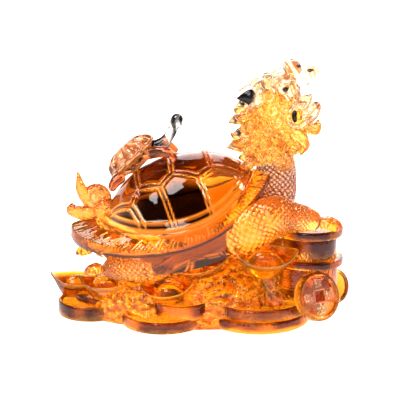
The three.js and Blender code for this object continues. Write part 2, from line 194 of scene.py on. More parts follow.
@dataclass(frozen=True)
class Palette:
    """Colours of light that passed one surface of the glass, as linear red, green and blue."""

    plain: Colour
    # light is the painted highlight colour on ridges, the next the painted shade in grooves, dark the colour
    # of full painted shade
    light: Colour
    groove_shade: Colour
    dark: Colour
    grain: float = 0.0

    def at(self, ridge: float, shade: float) -> Colour:
        """Colour at a place of the relief, with painted highlight on ridges and painted shade in grooves.

        Args:
            ridge: 1 for a painted highlight, as on a ridge, 0 on plain ground and -1 for painted shade, as in
                a groove.
            shade: Painted shade, 1 where the glass looks darkest.

        Returns:
            The base colour, of which the shader takes the root at each surface.
        """
        # painted highlight colour on ridges, painted shade colour in grooves
        edge = self.light if ridge > 0 else self.groove_shade
        first = [mix(a, b, min(abs(ridge), 1)) for a, b in zip(self.plain, edge)]
        return tuple(mix(a, b, clamp(shade)) ** 2 for a, b in zip(first, self.dark))


class Area(Enum):
    """Areas of the casting, each with the palette of its glass."""

    # second colour: painted highlight; third: painted shade in grooves; fourth: colour of full painted shade
    SHELL = Palette((0.98, 0.6, 0.1), (1.0, 0.86, 0.5), (0.84, 0.4, 0.04), (0.03, 0.011, 0.005))
    HIDE = Palette((0.98, 0.66, 0.2), (1.0, 0.97, 0.82), (0.5, 0.2, 0.03), (0.3, 0.1, 0.03), 0.1)
    NECK = Palette((0.55, 0.26, 0.14), (1.0, 1.0, 1.0), (0.12, 0.04, 0.02), (0.25, 0.08, 0.05))
    MANE = Palette((0.99, 0.76, 0.34), (1.0, 0.97, 0.84), (0.86, 0.42, 0.09), (0.55, 0.22, 0.06), 0.3)
    FACE = Palette((0.99, 0.93, 0.84), (1.0, 1.0, 1.0), (0.85, 0.46, 0.16), (0.05, 0.03, 0.04), 0.15)
    TAIL = Palette((0.97, 0.6, 0.27), (1.0, 0.86, 0.62), (0.85, 0.38, 0.12), (0.3, 0.1, 0.03), 0.6)
    YOUNG = Palette((0.76, 0.44, 0.25), (1.0, 0.9, 0.8), (0.34, 0.14, 0.06), (0.1, 0.05, 0.035), 0.1)
    SMOKE = Palette((0.3, 0.28, 0.27), (1.0, 1.0, 1.0), (0.05, 0.05, 0.055), (0.04, 0.04, 0.04))
    COINS = Palette((1.0, 0.7, 0.14), (1.0, 0.93, 0.55), (0.86, 0.4, 0.05), (0.22, 0.055, 0.015), 0.15)
    INGOTS = Palette((1.0, 0.7, 0.13), (1.0, 0.88, 0.5), (0.95, 0.44, 0.05), (0.45, 0.12, 0.03), 0.05)
    HEAP = Palette((1.0, 0.74, 0.18), (1.0, 0.97, 0.7), (0.5, 0.19, 0.02), (0.3, 0.1, 0.02), 0.3)


@dataclass
class Forge:
    """Makes closed pieces of the casting, in millimetres."""

    name: str
    area: Area = Area.HEAP
    blank: Marks = (0.0, 0.0)
    made: list[bpy.types.Object] = field(default_factory=list)

    def keep(self, bm: bmesh.types.BMesh) -> bpy.types.Object:
        """Turns a mesh into an object of this forge.

        Args:
            bm: The mesh, which is freed.

        Returns:
            The new object.
        """
        bmesh.ops.triangulate(bm, faces=bm.faces[:])
        bmesh.ops.dissolve_degenerate(bm, dist=1e-5, edges=bm.edges[:])
        bmesh.ops.recalc_face_normals(bm, faces=bm.faces[:])
        painted_light_marks = bm.verts.layers.float.get("ridge")
        shades = bm.verts.layers.float.get("shade")
        tints = bm.verts.layers.float_color.new("tint")
        palette = self.area.value
        for vert in bm.verts:
            # the ridge layer paints highlights and groove shade, the shade layer paints shade
            ridge, shade = (vert[painted_light_marks], vert[shades]) if painted_light_marks else self.blank
            vert[tints] = (*palette.at(ridge, shade), 0.5 + palette.grain / 2)
        mesh = bpy.data.meshes.new(self.name)
        bm.to_mesh(mesh)
        bm.free()
        made = bpy.data.objects.new(self.name, mesh)
        bpy.context.scene.collection.objects.link(made)
        self.made.append(made)
        return made

    def skin(self, columns: int, rings: int, place: Place, mark: Mark = unmarked) -> bmesh.types.BMesh:
        """A closed sphere-like net whose corners are moved to places.

        Args:
            columns: Corners round the net.
            rings: Rings between the two poles.
            place: Gives a corner from its ring number, 0 at the upper pole, and its angle.
            mark: Gives the relief and the shade there, which the palette turns into a colour as painted
                highlight and painted shade.

        Returns:
            The mesh.
        """
        bm = bmesh.new()
        bmesh.ops.create_uvsphere(bm, u_segments=columns, v_segments=rings + 1, radius=1.0)
        painted_light_marks = bm.verts.layers.float.new("ridge")
        shades = bm.verts.layers.float.new("shade")
        for vert in bm.verts:
            ring = round(math.acos(clamp(vert.co.z, -1, 1)) / math.pi * (rings + 1))
            angle = math.atan2(vert.co.y, vert.co.x)
            vert.co = place(ring, angle)
            vert[painted_light_marks], vert[shades] = mark(ring, angle)
        return bm

    def ball(self, centre: Point, radii: Point, turn: Point = (0, 0, 0), columns: int = 20, rings: int = 11,
             relief: Callable[[Vector], float] = level, shade: float = 0.0,
             paint: float = 0.0) -> bpy.types.Object:
        """An ellipsoid.

        Args:
            centre: Its middle.
            radii: Half sizes before the turn.
            turn: Turn in degrees.
            columns: Corners round it.
            rings: Rings between its poles.
            relief: Height added at a place of the unit sphere, as a share of the size.
            shade: How much shade is painted on its glass.
            paint: How strongly the relief is painted into the colour, as highlight on bumps and shade in
                dips.

        Returns:
            The object.
        """
        way = turned(turn)

        def direction(ring: float, angle: float) -> Vector:
            """Finds a corner of the unit sphere.

            Args:
                ring: Its ring number.
                angle: Its angle.

            Returns:
                The corner.
            """
            polar = ring / (rings + 1) * math.pi
            return Vector((math.sin(polar) * math.cos(angle), math.sin(polar) * math.sin(angle),
                           math.cos(polar)))

        def place(ring: float, angle: float) -> Vector:
            """Finds a corner of the ellipsoid.

            Args:
                ring: Its ring number.
                angle: Its angle.

            Returns:
                The corner.
            """
            unit = direction(ring, angle)
            size = 1 + relief(unit)
            sized = Vector((unit.x * radii[0], unit.y * radii[1], unit.z * radii[2])) * size
            return way @ sized + Vector(centre)

        def mark(ring: float, angle: float) -> Marks:
            """Gives relief and shade of a corner's colour."""
            # painted highlight on raised relief, painted shade in its dips
            return clamp(paint * relief(direction(ring, angle)), -1), shade

        return self.keep(self.skin(columns, rings, place, mark))

    def limb(self, points: Sequence[Point], radii: Sequence[float], columns: int = 12, rings: int = 16,
             flat: float = 1.0, relief: Relief | None = None, beside: Vector | None = None,
             mark: Mark | None = None) -> bpy.types.Object:
        """A round limb along a smooth curve, with rounded ends.

        Args:
            points: Points that the middle line passes through.
            radii: Radii spread evenly along it.
            columns: Corners round the limb.
            rings: Rings along it.
            flat: Share of the width left across the second direction.
            relief: Height in millimetres from the share along, the angle and the radius.
            beside: Direction of angle 0 at the start, or None for any.
            mark: Relief and shade of the colour from the share along and the angle. With None the relief is
                painted into the colour, as highlight on raised parts and shade in dips.

        Returns:
            The object.
        """
        path = curve_through(points, rings + 1)
        tangents = [
            (path[min(i + 1, len(path) - 1)] - path[max(i - 1, 0)]).normalized() for i in range(len(path))
        ]
        first = beside if beside is not None else (UP if abs(tangents[0].z) < 0.9 else Vector((1, 0, 0)))
        normal = (first - tangents[0] * first.dot(tangents[0])).normalized()
        normals = [normal]
        for previous, tangent in zip(tangents, tangents[1:]):
            normal = previous.rotation_difference(tangent) @ normal
            normal = (normal - tangent * normal.dot(tangent)).normalized()
            normals.append(normal)
        length = sum((b - a).length for a, b in zip(path, path[1:]))

        def place(ring: float, angle: float) -> Vector:
            """Finds a corner of the limb.

            Args:
                ring: Its ring number, counted from the far end.
                angle: Its angle.

            Returns:
                The corner.
            """
            step = rings + 1 - int(ring)
            share = step / (rings + 1)
            radius = along(radii, share)
            for end, reach in ((share * length, radii[0]), ((1 - share) * length, radii[-1])):
                if end < reach:
                    radius *= math.sqrt(max(1 - (1 - end / reach) ** 2, 0))
            if relief is not None:
                radius += relief(share, angle, radius) * min(1, 4 * share, 4 * (1 - share))
            across = normals[step] * (math.cos(angle) * radius)
            beyond = tangents[step].cross(normals[step]) * (math.sin(angle) * radius * flat)
            return path[step] + across + beyond

        def colour(ring: float, angle: float) -> Marks:
            """Gives relief and shade of a corner's colour.

            Args:
                ring: Its ring number, counted from the far end.
                angle: Its angle.

            Returns:
                Relief and shade.
            """
            share = 1 - ring / (rings + 1)
            if mark is not None:
                return mark(share, angle)
            if relief is not None:
                # painted highlight on raised relief, painted shade in its dips
                return relief(share, angle, along(radii, share)) * 2.4, 0.0
            return 0.0, 0.0

        return self.keep(self.skin(columns, rings, place, colour))

    def lathe(self, profile: Sequence[Point], columns: int, warp: Warp,
              mark: LatheMark = unmarked) -> bpy.types.Object:
        """A profile turned round an axis and warped.

        Args:
            profile: Radius and height of each ring from the lower pole to the upper one.
            columns: Corners round it.
            warp: Gives a corner from its radius, height and angle.
            mark: Gives relief and shade of the colour from the same three.

        Returns:
            The object.
        """
        rows = list(reversed(profile))

        def place(ring: float, angle: float) -> Vector:
            """Finds a corner from its ring number and angle."""
            return warp(*rows[int(ring)], angle)

        def colour(ring: float, angle: float) -> Marks:
            """Gives relief and shade of a corner's colour."""
            return mark(*rows[int(ring)], angle)

        return self.keep(self.skin(columns, len(rows) - 2, place, colour))

    def block(self, size: Point, matrix: Matrix, rounding: float = 0.2) -> bpy.types.Object:
        """A box with rounded edges.

        Args:
            size: Its three sizes.
            matrix: Where it goes.
            rounding: Radius of its edges.

        Returns:
            The object.
        """
        bm = bmesh.new()
        bmesh.ops.create_cube(bm, size=1.0)
        bmesh.ops.scale(bm, vec=Vector(size), verts=bm.verts)
        if rounding > 0:
            bmesh.ops.bevel(bm, geom=bm.edges[:], offset=rounding, offset_type="OFFSET", segments=2,
                            profile=0.5, affect="EDGES", material=-1)
        bmesh.ops.transform(bm, matrix=matrix, verts=bm.verts)
        return self.keep(bm)


class Join(Enum):
    """Ways to join closed pieces."""

    UNION = "UNION"
    DIFFERENCE = "DIFFERENCE"


def renewed(made: bpy.types.Object) -> None:
    """Applies an object's modifiers and drops its old mesh.

    Args:
        made: The object.
    """
    graph = bpy.context.evaluated_depsgraph_get()
    mesh = bpy.data.meshes.new_from_object(made.evaluated_get(graph))
    made.modifiers.clear()
    old = made.data
    made.data = mesh
    bpy.data.meshes.remove(old)


def fuse(pieces: Sequence[bpy.types.Object], join: Join = Join.UNION) -> bpy.types.Object:
    """Joins closed pieces into one closed piece, the smallest ones first.

    Args:
        pieces: The pieces, which are used up.
        join: The union of all, or the first without the others.

    Returns:
        The joined object.
    """
    line = list(pieces)
    while len(line) > 1:
        if join is Join.UNION:
            line.sort(key=lambda o: len(o.data.polygons))
        first, second = line[0], line[1]
        cut = first.modifiers.new("join", "BOOLEAN")
        cut.operation = join.value
        cut.solver = "MANIFOLD"
        cut.object = second
        renewed(first)
        gone = second.data
        bpy.data.objects.remove(second)
        bpy.data.meshes.remove(gone)
        line = [first, *line[2:]]
    return line[0]


@dataclass(frozen=True)
class Shell:
    """The carapace, in its own frame: u to the head, v to the left, w out of the back."""

    x: float = -14.5
    height: float = 55.5
    pitch: float = 12.8
    rim_half_length: float = 52.3
    rim_half_width: float = 36.5
    rim_droop: float = 14
    rim_thickness: float = 2.4
    tail_rim_thickness: float = 6.5
    dome_half_length: float = 37.5
    dome_half_width: float = 34.5
    dome_forward: float = 4.6
    dome_height: float = 22.5
    dome_droop: float = 7.3
    front_lift: float = 6.5
    belly_depth: float = 21
    line: tuple[tuple[float, float], ...] = (
        (-0.95, 0.3), (-0.6, 0.6), (-0.45, 0.5), (-0.18, 0.62), (0, 0.5), (0.32, 0.58), (0.5, 0.43),
        (0.92, 0.36),
    )
    feet: tuple[tuple[int, float], ...] = ((1, -0.46), (3, -0.07), (5, 0.42))
    crossings: tuple[int, ...] = (2, 4, 6)

    def plan(self, share: float, angle: float) -> tuple[float, float]:
        """Place in the plan of the shell.

        Args:
            share: 0 at the crown, 1 at the foot of the dome, 2 at the rim.
            angle: Angle round the shell.

        Returns:
            The place along u and v.
        """
        dome, flange = min(share, 1), max(share - 1, 0)
        half_length = self.dome_half_length * dome + (self.rim_half_length - self.dome_half_length) * flange
        half_width = self.dome_half_width * dome + (self.rim_half_width - self.dome_half_width) * flange
        centre = self.dome_forward * (1 - flange) + 2 * (1 - dome)
        return centre + half_length * math.cos(angle), half_width * math.sin(angle)

    def top(self, share: float, angle: float) -> float:
        """Height of the upper surface.

        Args:
            share: 0 at the crown, 1 at the foot of the dome, 2 at the rim.
            angle: Angle round the shell.

        Returns:
            The height along w.
        """
        dome, flange = min(share, 1), max(share - 1, 0)
        side = math.sin(angle) ** 2
        front = max(math.cos(angle), 0) ** 3
        crown = self.dome_height * (1 - dome**2.2) ** 0.82
        droop = mix(self.dome_droop * dome**2, self.rim_droop, flange) * side
        return 1.2 * (1 - flange) + crown + self.front_lift * front * dome**2 - droop

    def under(self, share: float, angle: float) -> float:
        """Height of the lower surface.

        Args:
            share: 0 at the crown, 1 at the foot of the dome, 2 at the rim.
            angle: Angle round the shell.

        Returns:
            The height along w.
        """
        inward = 2 - share
        tail = max(-math.cos(angle), 0) ** 2
        thickness = mix(self.rim_thickness, self.tail_rim_thickness, tail)
        belly = self.belly_depth * smooth(0.2, 1.15, inward)
        droop = self.rim_droop * math.sin(angle) ** 2 * max(1 - inward / 1.4, 0)
        lift = self.front_lift * max(math.cos(angle), 0) ** 3 * share / 2
        return lift - thickness - belly - droop

    def frame(self) -> Matrix:
        """The shell's place in the figure.

        Returns:
            The matrix from the shell's frame to the figure's.
        """
        turn = Matrix.Rotation(math.radians(-self.pitch), 4, "Y")
        return Matrix.Translation((self.x, 0, self.height)) @ turn

    def lines(self) -> list[Line]:
        """The lines between the large scutes, in the plan in millimetres.

        Returns:
            Pairs of ends.
        """
        pairs = []
        for side in (-1, 1):
            line = [(x, side * y) for x, y in self.line]
            pairs += list(zip(line, line[1:]))
            pairs += [(line[i], (x, side * math.sqrt(1 - x * x))) for i, x in self.feet]
            pairs += [(line[i], (line[i][0] - 0.06, 0)) for i in self.crossings]
        half = Vector((self.dome_half_length, self.dome_half_width))
        return [(Vector(a) * half, Vector(b) * half) for a, b in pairs]

    @staticmethod
    def nearest(point: Vector, lines: Sequence[Line]) -> float:
        """Distance to the nearest line.

        Args:
            point: Place in the plan.
            lines: Pairs of ends.

        Returns:
            The distance in millimetres.
        """
        best = 1e9
        for a, b in lines:
            way = b - a
            t = clamp((point - a).dot(way) / way.length_squared)
            best = min(best, (point - a - way * t).length)
        return best


@dataclass
class Carapace:
    """Domed shell with raised double seams and a fretted flange."""

    shell: Shell
    forge: Forge = field(default_factory=lambda: Forge("carapace", Area.SHELL))
    upper: tuple[float, ...] = (
        *(i / 26 for i in range(27)), 1.05, 1.1, 1.2, 1.32, 1.44, 1.56, 1.68, 1.8, 1.92,
    )
    lower: tuple[float, ...] = (1.97, 1.85, 1.6, 1.4, 1.2, 1.0, 0.6)
    columns: int = 88
    finest: float = 0.5
    scutes: int = 25
    near_strokes: tuple[tuple[float, float, float], ...] = (
        (0.05, 0.1, 0.9), (0.2, 0.42, 0.9), (0.35, 0.55, 0.9), (0.5, 0.3, 0.9), (0.65, 0.5, 0.9),
        (0.82, 0.62, 0.9),
    )
    far_strokes: tuple[tuple[float, float, float], ...] = ((0.25, 0.3, 0.9), (0.75, 0.5, 0.9))

    def relief(self, share: float, angle: float, lines: Sequence[Line]) -> float:
        """Height of the carving on the upper surface.

        Args:
            share: 0 at the crown, 1 at the foot of the dome, 2 at the rim.
            angle: Angle round the shell.
            lines: Lines between the large scutes.

        Returns:
            The height in millimetres.
        """
        height = 0.0
        if share < 1.04:
            place = Vector((math.cos(angle) * self.shell.dome_half_length,
                            math.sin(angle) * self.shell.dome_half_width))
            near = self.shell.nearest(place * share, lines)
            edge = (1 - share) * 36
            seam = 0.6 * bump(near - 0.95, 0.45) - 0.2 * bump(near, 0.4)
            inner = min(near, edge - 0.6)
            height += seam * smooth(0.2, 1.4, edge) - 0.25 * smooth(1.3, 3.2, inner)
        foot = (share - 1) * 36 if share < 1 else (share - 1) * 11
        height += 0.5 * bump(foot + 1.7, 0.5) + 0.62 * bump(foot, 0.55) + 0.45 * bump(foot - 1.9, 0.6)
        if share > 1.3:
            cell = (angle / TAU * self.scutes) % 1.0
            down = (share - 1.3) / 0.66
            near = share * math.sin(angle) < 0.3
            width = 0.036 if near else 0.12
            strokes = self.near_strokes if near else self.far_strokes
            for at, start, end in strokes:
                gate = smooth(start - 0.08, start, down) * (1 - smooth(end, end + 0.05, down))
                height += 0.42 * bump(cell - at, width) * gate
        return height

    def shade(self, x: float, y: float) -> float:
        """How dark the glass looks at a place of the dome: painted shade that stands for dark reflections.

        Args:
            x: Place along the disc.
            y: Distance from the middle line of the disc.

        Returns:
            The painted shade, or less than 0 for a painted highlight.
        """
        share = math.hypot(x, y)
        if share > 1:
            return 0.0
        middle = self.shell.line[-1][1]
        for (x0, y0), (x1, y1) in zip(self.shell.line, self.shell.line[1:]):
            if x0 <= x < x1:
                middle = mix(y0, y1, (x - x0) / (x1 - x0))
        side = (y - middle) / max(math.sqrt(max(1 - x * x, 0)) - middle, 0.05)
        if side < 0:
            return 0.5 + 0.3 * noise.noise(Vector((x * 4, y * 4, 0))) - 0.35 * smooth(0.2, 0.7, x)
        ends = [mix(top, foot, side) for top, foot in ((-0.6, -0.46), (-0.18, -0.07), (0.32, 0.42))]
        cell = sum(x > end for end in ends)
        ripple = 0.12 * noise.noise(Vector((x * 7, y * 7, 3)))
        if cell == 0:
            return 0.9 * smooth(-0.2, 0.25, side) + ripple
        if cell == 3:
            # painted highlight: a bright streak across the front side scute
            painted_streak = bump((side - 0.3 + 0.4 * (x - 0.6)) / 0.25, 1)
            return 0.25 * smooth(0.4, 0.9, side) - 0.2 - 0.8 * painted_streak + 0.5 * ripple
        return 0.5 + 0.5 * smooth(0.05, 0.38, side) + ripple * (1 - side)

    def busy(self, x: float, y: float, lines: Sequence[Line]) -> float:
        """How fine the net has to be at a place of the upper surface.

        Args:
            x: Place along the disc.
            y: Place across the disc.
            lines: Lines between the large scutes.

        Returns:
            The longest side that a face may have there, in millimetres.
        """
        share = math.hypot(x, y)
        coarse = 0.62 if y < 0.2 else 1.0
        if share < 0.93:
            place = Vector((x * self.shell.dome_half_length, y * self.shell.dome_half_width))
            return coarse if self.shell.nearest(place, lines) < 2.6 else 2.5
        if share < 1.2:
            return coarse
        return coarse * 0.9 if 1.3 < share < 1.98 and y < 0.3 else 2.4

    def net(self) -> bmesh.types.BMesh:
        """A flat net of the shell, with the share as its radius and the side as its height.

        Returns:
            The net, at height 1 for the upper side, 0 for the rim and -1 for the lower side.
        """
        rows = [(s, 1) for s in self.upper] + [(2, 0)] + [(s, -1) for s in self.lower] + [(0, -1)]

        def place(ring: float, angle: float) -> Vector:
            """Lays a corner out in the net from its ring number and angle."""
            share, side = rows[int(ring)]
            return Vector((share * math.cos(angle), share * math.sin(angle), side))

        return self.forge.skin(self.columns, len(rows) - 2, place)

    def length(self, edge: bmesh.types.BMEdge) -> float:
        """Length of an edge of the net once it lies on the upper surface.

        Args:
            edge: The edge.

        Returns:
            The length in millimetres.
        """
        ends = []
        for vert in edge.verts:
            share, angle = math.hypot(vert.co.x, vert.co.y), math.atan2(vert.co.y, vert.co.x)
            ends.append(Vector((*self.shell.plan(share, angle), self.shell.top(share, angle))))
        return (ends[0] - ends[1]).length

    def refine(self, bm: bmesh.types.BMesh, lines: Sequence[Line]) -> None:
        """Splits the edges of the upper side that are too long for its carving.

        Args:
            bm: The net.
            lines: Lines between the large scutes.
        """
        for fine in (False, False, True):
            split = []
            for edge in bm.edges:
                middle = (edge.verts[0].co + edge.verts[1].co) / 2
                carved = 1.36 < math.hypot(middle.x, middle.y) < 1.92 and middle.y < -0.35
                longest = self.finest if fine else self.busy(middle.x, middle.y, lines)
                if middle.z > 0.9 and (carved or not fine) and self.length(edge) > longest:
                    split.append(edge)
            bmesh.ops.subdivide_edges(bm, edges=split, cuts=1, use_grid_fill=True)

    def make(self) -> list[bpy.types.Object]:
        """Builds the shell.

        Returns:
            Its pieces.
        """
        lines = self.shell.lines()
        bm = self.net()
        self.refine(bm, lines)
        place = self.shell.frame()
        painted_light_marks, shades = bm.verts.layers.float["ridge"], bm.verts.layers.float["shade"]
        for vert in bm.verts:
            share, angle = math.hypot(vert.co.x, vert.co.y), math.atan2(vert.co.y, vert.co.x)
            u, v = self.shell.plan(share, angle)
            top, under = self.shell.top(share, angle), self.shell.under(share, angle)
            if vert.co.z > 0.5:
                relief = self.relief(share, angle, lines)
                # painted highlight on seams and flange strokes, painted shade in grooves and in the side
                # scutes, painted highlight where shade is below 0
                shade = self.shade(vert.co.x, abs(vert.co.y)) * (1 - smooth(0.1, 0.5, relief))
                vert[painted_light_marks] = clamp(relief * (2.2 if share < 1.3 else 3.4), -0.25, 1) + max(-shade, 0)
                vert[shades] = max(shade, 0)
                w = top + relief
            else:
                # painted shade on the underside and the rim
                vert[painted_light_marks], vert[shades] = -0.4, 0.45
                w = under if vert.co.z < -0.5 else (top + under) / 2
            vert.co = place @ Vector((u, v, w))
        self.forge.keep(bm)
        return self.forge.made


@dataclass(frozen=True)
class Coin:
    """A flat coin of the heap: where it lies, its radius, its underside and its thickness."""

    x: float
    y: float
    radius: float
    bottom: float
    thickness: float
    rimmed: bool = True


@dataclass(frozen=True)
class Ingot:
    """A boat-shaped ingot: the middle of its foot, its sizes, its turn in degrees and its boss."""

    centre: Point
    length: float
    width: float
    height: float
    turn: Point
    boss: float = 1.0
    shade: float = 0.0


@dataclass
class Base:
    """Heap with its coins and boat-shaped ingots."""

    forge: Forge = field(default_factory=lambda: Forge("base"))
    near_top: float = 46.5
    far_top: float = 35
    heap_half_length: float = 60
    heap_half_width: float = 33
    heap_height: float = 31
    heap_shift: float = 3
    heap_profile: tuple[Marks, ...] = (
        (1, 0.06), (0.99, 0.14), (0.96, 0.3), (0.92, 0.46), (0.84, 0.61), (0.74, 0.74), (0.6, 0.86),
        (0.4, 0.94), (0.15, 0.99),
    )
    heap_steps: int = 44
    nugget: float = 2.5
    near_stack: tuple[Coin, ...] = (
        Coin(51.4, -8, 16.5, 11, 16.7, False), Coin(53.5, -9, 17, 27.7, 4, False),
        Coin(53.5, -10, 13.5, 31.7, 10.6, False), Coin(53.4, -9, 16.7, 42.3, 4.2),
    )
    far_stack: tuple[Coin, ...] = (Coin(45, 22, 18, 6, 15, False), Coin(47.5, 21, 15, 21, 14))
    foot_coins: tuple[Coin, ...] = (
        Coin(-54, -2, 17.5, 0, 7), Coin(-50, -2, 12.5, 6.5, 3.6, False), Coin(-18, -17, 20.7, 0, 5.6),
        Coin(-8.9, -18.5, 14.5, 5, 7.2), Coin(28, -11.5, 26, 0, 5.4, False), Coin(29, -10.5, 25, 5, 6),
        Coin(-38, 20, 20, 0, 6, False), Coin(-4, 25, 20, 0, 6.5, False), Coin(34, 22, 22, 0, 7, False),
    )
    upright_radius: float = 9
    upright_thickness: float = 4.9
    upright_centre: Point = (67.5, 4, 11.2)
    upright_facing: Point = (0.55, -0.8, 0.22)
    lucky_radius: float = 11.8
    lucky_thickness: float = 5.0
    lucky_yaw: float = 30
    lucky_lean: float = 18
    lucky_centre: Point = (57.3, -29, 16.5)
    face_depth: float = 0.75
    ingots: tuple[Ingot, ...] = (
        Ingot((30.5, -26.3, 26), 31, 18, 13.5, (22, 2, 0)),
        Ingot((-46.8, -13, 10), 25.5, 15, 10, (8, 0, 0), 1.15, 0.2),
        Ingot((-63, 6, 4.5), 29.8, 16, 12, (10, 8, 14), 1.0, 0.8),
        Ingot((-14.8, -24, 11.5), 26, 16, 10, (18, -6, 0), 1.0, 0.3),
        Ingot((1, -17.5, 24), 34, 20, 11, (26, -11, 0), 1.0, 0.2),
        Ingot((6, 33, 13), 30, 17, 12, (-20, 0, -6), 1.0, 0.2),
    )
    ingot_profile: tuple[Marks, ...] = (
        (0, 0), (0.3, 0), (0.42, 0.03), (0.56, 0.18), (0.74, 0.45), (0.88, 0.68), (0.97, 0.82), (1.0, 0.88),
        (0.985, 0.92), (0.93, 0.91), (0.88, 0.86), (0.76, 0.7), (0.64, 0.6), (0.58, 0.6),
    )
    boss_profile: tuple[Marks, ...] = ((0.5, 0.72), (0.42, 0.86), (0.3, 0.99), (0.15, 1.06), (0, 1.08))
    strokes: tuple[tuple[float, float, float, float], ...] = (
        (-1.5, 0.9, 0.55, 1.5), (-0.5, -0.6, 0.55, 2.2), (0.6, 0.7, 0.55, 1.8), (1.6, -0.3, 0.55, 2.4),
        (0, 1.75, 3.6, 0.5), (-0.9, -1.7, 1.9, 0.5), (1.1, -0.2, 1.4, 0.5), (-1.2, 0.1, 1.3, 0.5),
    )

    def coin(self, coin: Coin, columns: int = 64, matrix: Matrix | None = None, face: float = 0.0,
             band_shade: float = 0.9) -> bpy.types.Object:
        """A coin with a dark band round its edge.

        Args:
            coin: Its place and sizes.
            columns: Corners round it.
            matrix: Turn and place, or None for a flat coin.
            face: Relief that its face is coloured as.
            band_shade: How dark the band round its edge is.

        Returns:
            The object.
        """
        radius, thickness = coin.radius, coin.thickness
        soft = min(0.9, thickness * 0.25)
        self.forge.area = Area.COINS
        profile = [(0, 0), (radius - soft, 0), (radius - soft * 0.3, soft * 0.3), (radius, soft)]
        profile += [(radius, mix(soft, thickness - soft, i / 4)) for i in range(1, 5)]
        profile += [(radius - soft * 0.3, thickness - soft * 0.3), (radius - soft, thickness)]
        if coin.rimmed:
            profile += [(radius - 1.7, thickness), (radius - 2.0, thickness - 0.15),
                        (radius - 2.4, thickness - 0.65), (radius - 2.8, thickness - self.face_depth),
                        (0, thickness - self.face_depth)]
        else:
            profile += [(radius * 0.5, thickness), (0, thickness)]
        place = matrix if matrix is not None else Matrix.Translation((coin.x, coin.y, coin.bottom))

        def warp(r: float, z: float, angle: float) -> Vector:
            """Places a corner from its radius, height and angle."""
            return place @ Vector((r * math.cos(angle), r * math.sin(angle), z))

        def mark(r: float, z: float, angle: float) -> Marks:
            """Paints a highlight on the rim and colours the band dark, with a wandering edge.

            Args:
                r: Radius of the corner.
                z: Its height in the coin.
                angle: Its angle.

            Returns:
                Relief and shade of its colour.
            """
            if z <= 0 or r < radius - 1:
                # painted highlight on the rim
                return (0.7, 0.0) if r > radius - 1.9 else (face, 0.0)
            across, ahead = math.sin(angle), math.cos(angle)
            wander = noise.noise(Vector((3 * ahead, 3 * across, coin.x)))
            band = smooth(0.2, 0.5, z / thickness + 0.35 * wander)
            fade = smooth(-0.45, 0.1, noise.noise(Vector((2 * ahead, 2 * across, coin.y + 7))))
            return 0.4 * (1 - band) - 0.5 * band, band * fade * band_shade

        return self.forge.lathe(profile, columns, warp, mark)

    def ingot(self, ingot: Ingot) -> None:
        """A boat-shaped ingot with a rounded boss.

        Args:
            ingot: Its place, sizes and turn.
        """
        self.forge.area = Area.INGOTS
        place = Matrix.Translation(ingot.centre) @ turned(ingot.turn, "ZYX")
        profile = [*self.ingot_profile, *((share, z * ingot.boss) for share, z in self.boss_profile)]

        def warp(share: float, z: float, angle: float) -> Vector:
            """Draws the ends of the boat out and up.

            Args:
                share: Share of the half length.
                z: Share of the height.
                angle: Angle round the ingot.

            Returns:
                The corner.
            """
            beside, ahead = math.sin(angle), math.cos(angle)
            rise = 0.42 * max(share - 0.45, 0) * 1.27 * ahead**4 * ingot.height
            narrow = mix(1, abs(beside) ** 0.35, min(share, 1) ** 2)
            return place @ Vector((share * ahead * ingot.length / 2,
                                   share * beside * narrow * ingot.width / 2, z * ingot.height + rise))

        def mark(share: float, z: float, angle: float) -> Marks:
            """Paints a highlight on the rim and shade in the trough round the boss.

            Args:
                share: Share of the half length.
                z: Share of the height.
                angle: Angle round the ingot, which changes nothing.

            Returns:
                Relief and shade of its colour.
            """
            inner = bump((share - 0.62) / 0.12, 1) if z > 0.55 else 0
            return 0.8 * bump((share - 0.97) / 0.05, 1) - 0.7 * inner, ingot.shade * (1 - smooth(0.7, 0.9, z))

        self.forge.lathe(profile, 56, warp, mark)

    def heap(self) -> None:
        """The mound of small nuggets under everything."""
        self.forge.area = Area.HEAP
        radii, heights = zip(*self.heap_profile)
        profile = [(0, 0), (0.9, 0), (1, 0)]
        profile += [(along(radii, i / self.heap_steps), along(heights, i / self.heap_steps))
                    for i in range(self.heap_steps + 1)]
        profile += [(0, 1)]

        def bare(share: float, z: float, angle: float) -> Vector:
            """Places a corner of the mound before its nuggets are raised.

            Args:
                share: Share of the half length.
                z: Share of the height.
                angle: Angle round the mound.

            Returns:
                The corner.
            """
            lumps = 1 + 0.05 * math.sin(5 * angle + 1) * min(z * 4, 1)
            return Vector((share * self.heap_half_length * lumps * math.cos(angle),
                           share * self.heap_half_width * lumps * math.sin(angle) + self.heap_shift,
                           z * self.heap_height))

        def grain(place: Vector) -> float:
            """Height of the nuggets at a place, from about -1 to 1."""
            return 1 - min(noise.voronoi(place / self.nugget)[0][0], 0.75) / 0.42

        def warp(share: float, z: float, angle: float) -> Vector:
            """Places a corner of the mound with its nuggets.

            Args:
                share: Share of the half length.
                z: Share of the height.
                angle: Angle round the mound.

            Returns:
                The corner.
            """
            out = bare(share, z, angle)
            out += Vector((math.cos(angle), math.sin(angle) * 1.2, 0.6)) * grain(out) * 0.8 * min(z * 6, 1)
            return out

        def mark(share: float, z: float, angle: float) -> Marks:
            """Paints highlights on the nuggets and shade in the gaps between them."""
            return grain(bare(share, z, angle)), 0.0

        self.forge.lathe(profile, 240, warp, mark)

    def lump(self) -> None:
        """The lump of the heap that carries the large ingot."""

        def folds(share: float, angle: float, _: float) -> float:
            """Height of its folds in millimetres, from the share along and the angle."""
            return 0.35 * math.cos(7 * angle + 9 * share) * math.cos(15 * share)

        self.forge.area = Area.HEAP
        # its folds are painted into the colour as highlight and shade
        self.forge.limb([(33, -24, 28), (34, -27, 20), (37, -26, 10)], [6, 3.6, 7], 48, 30, relief=folds)

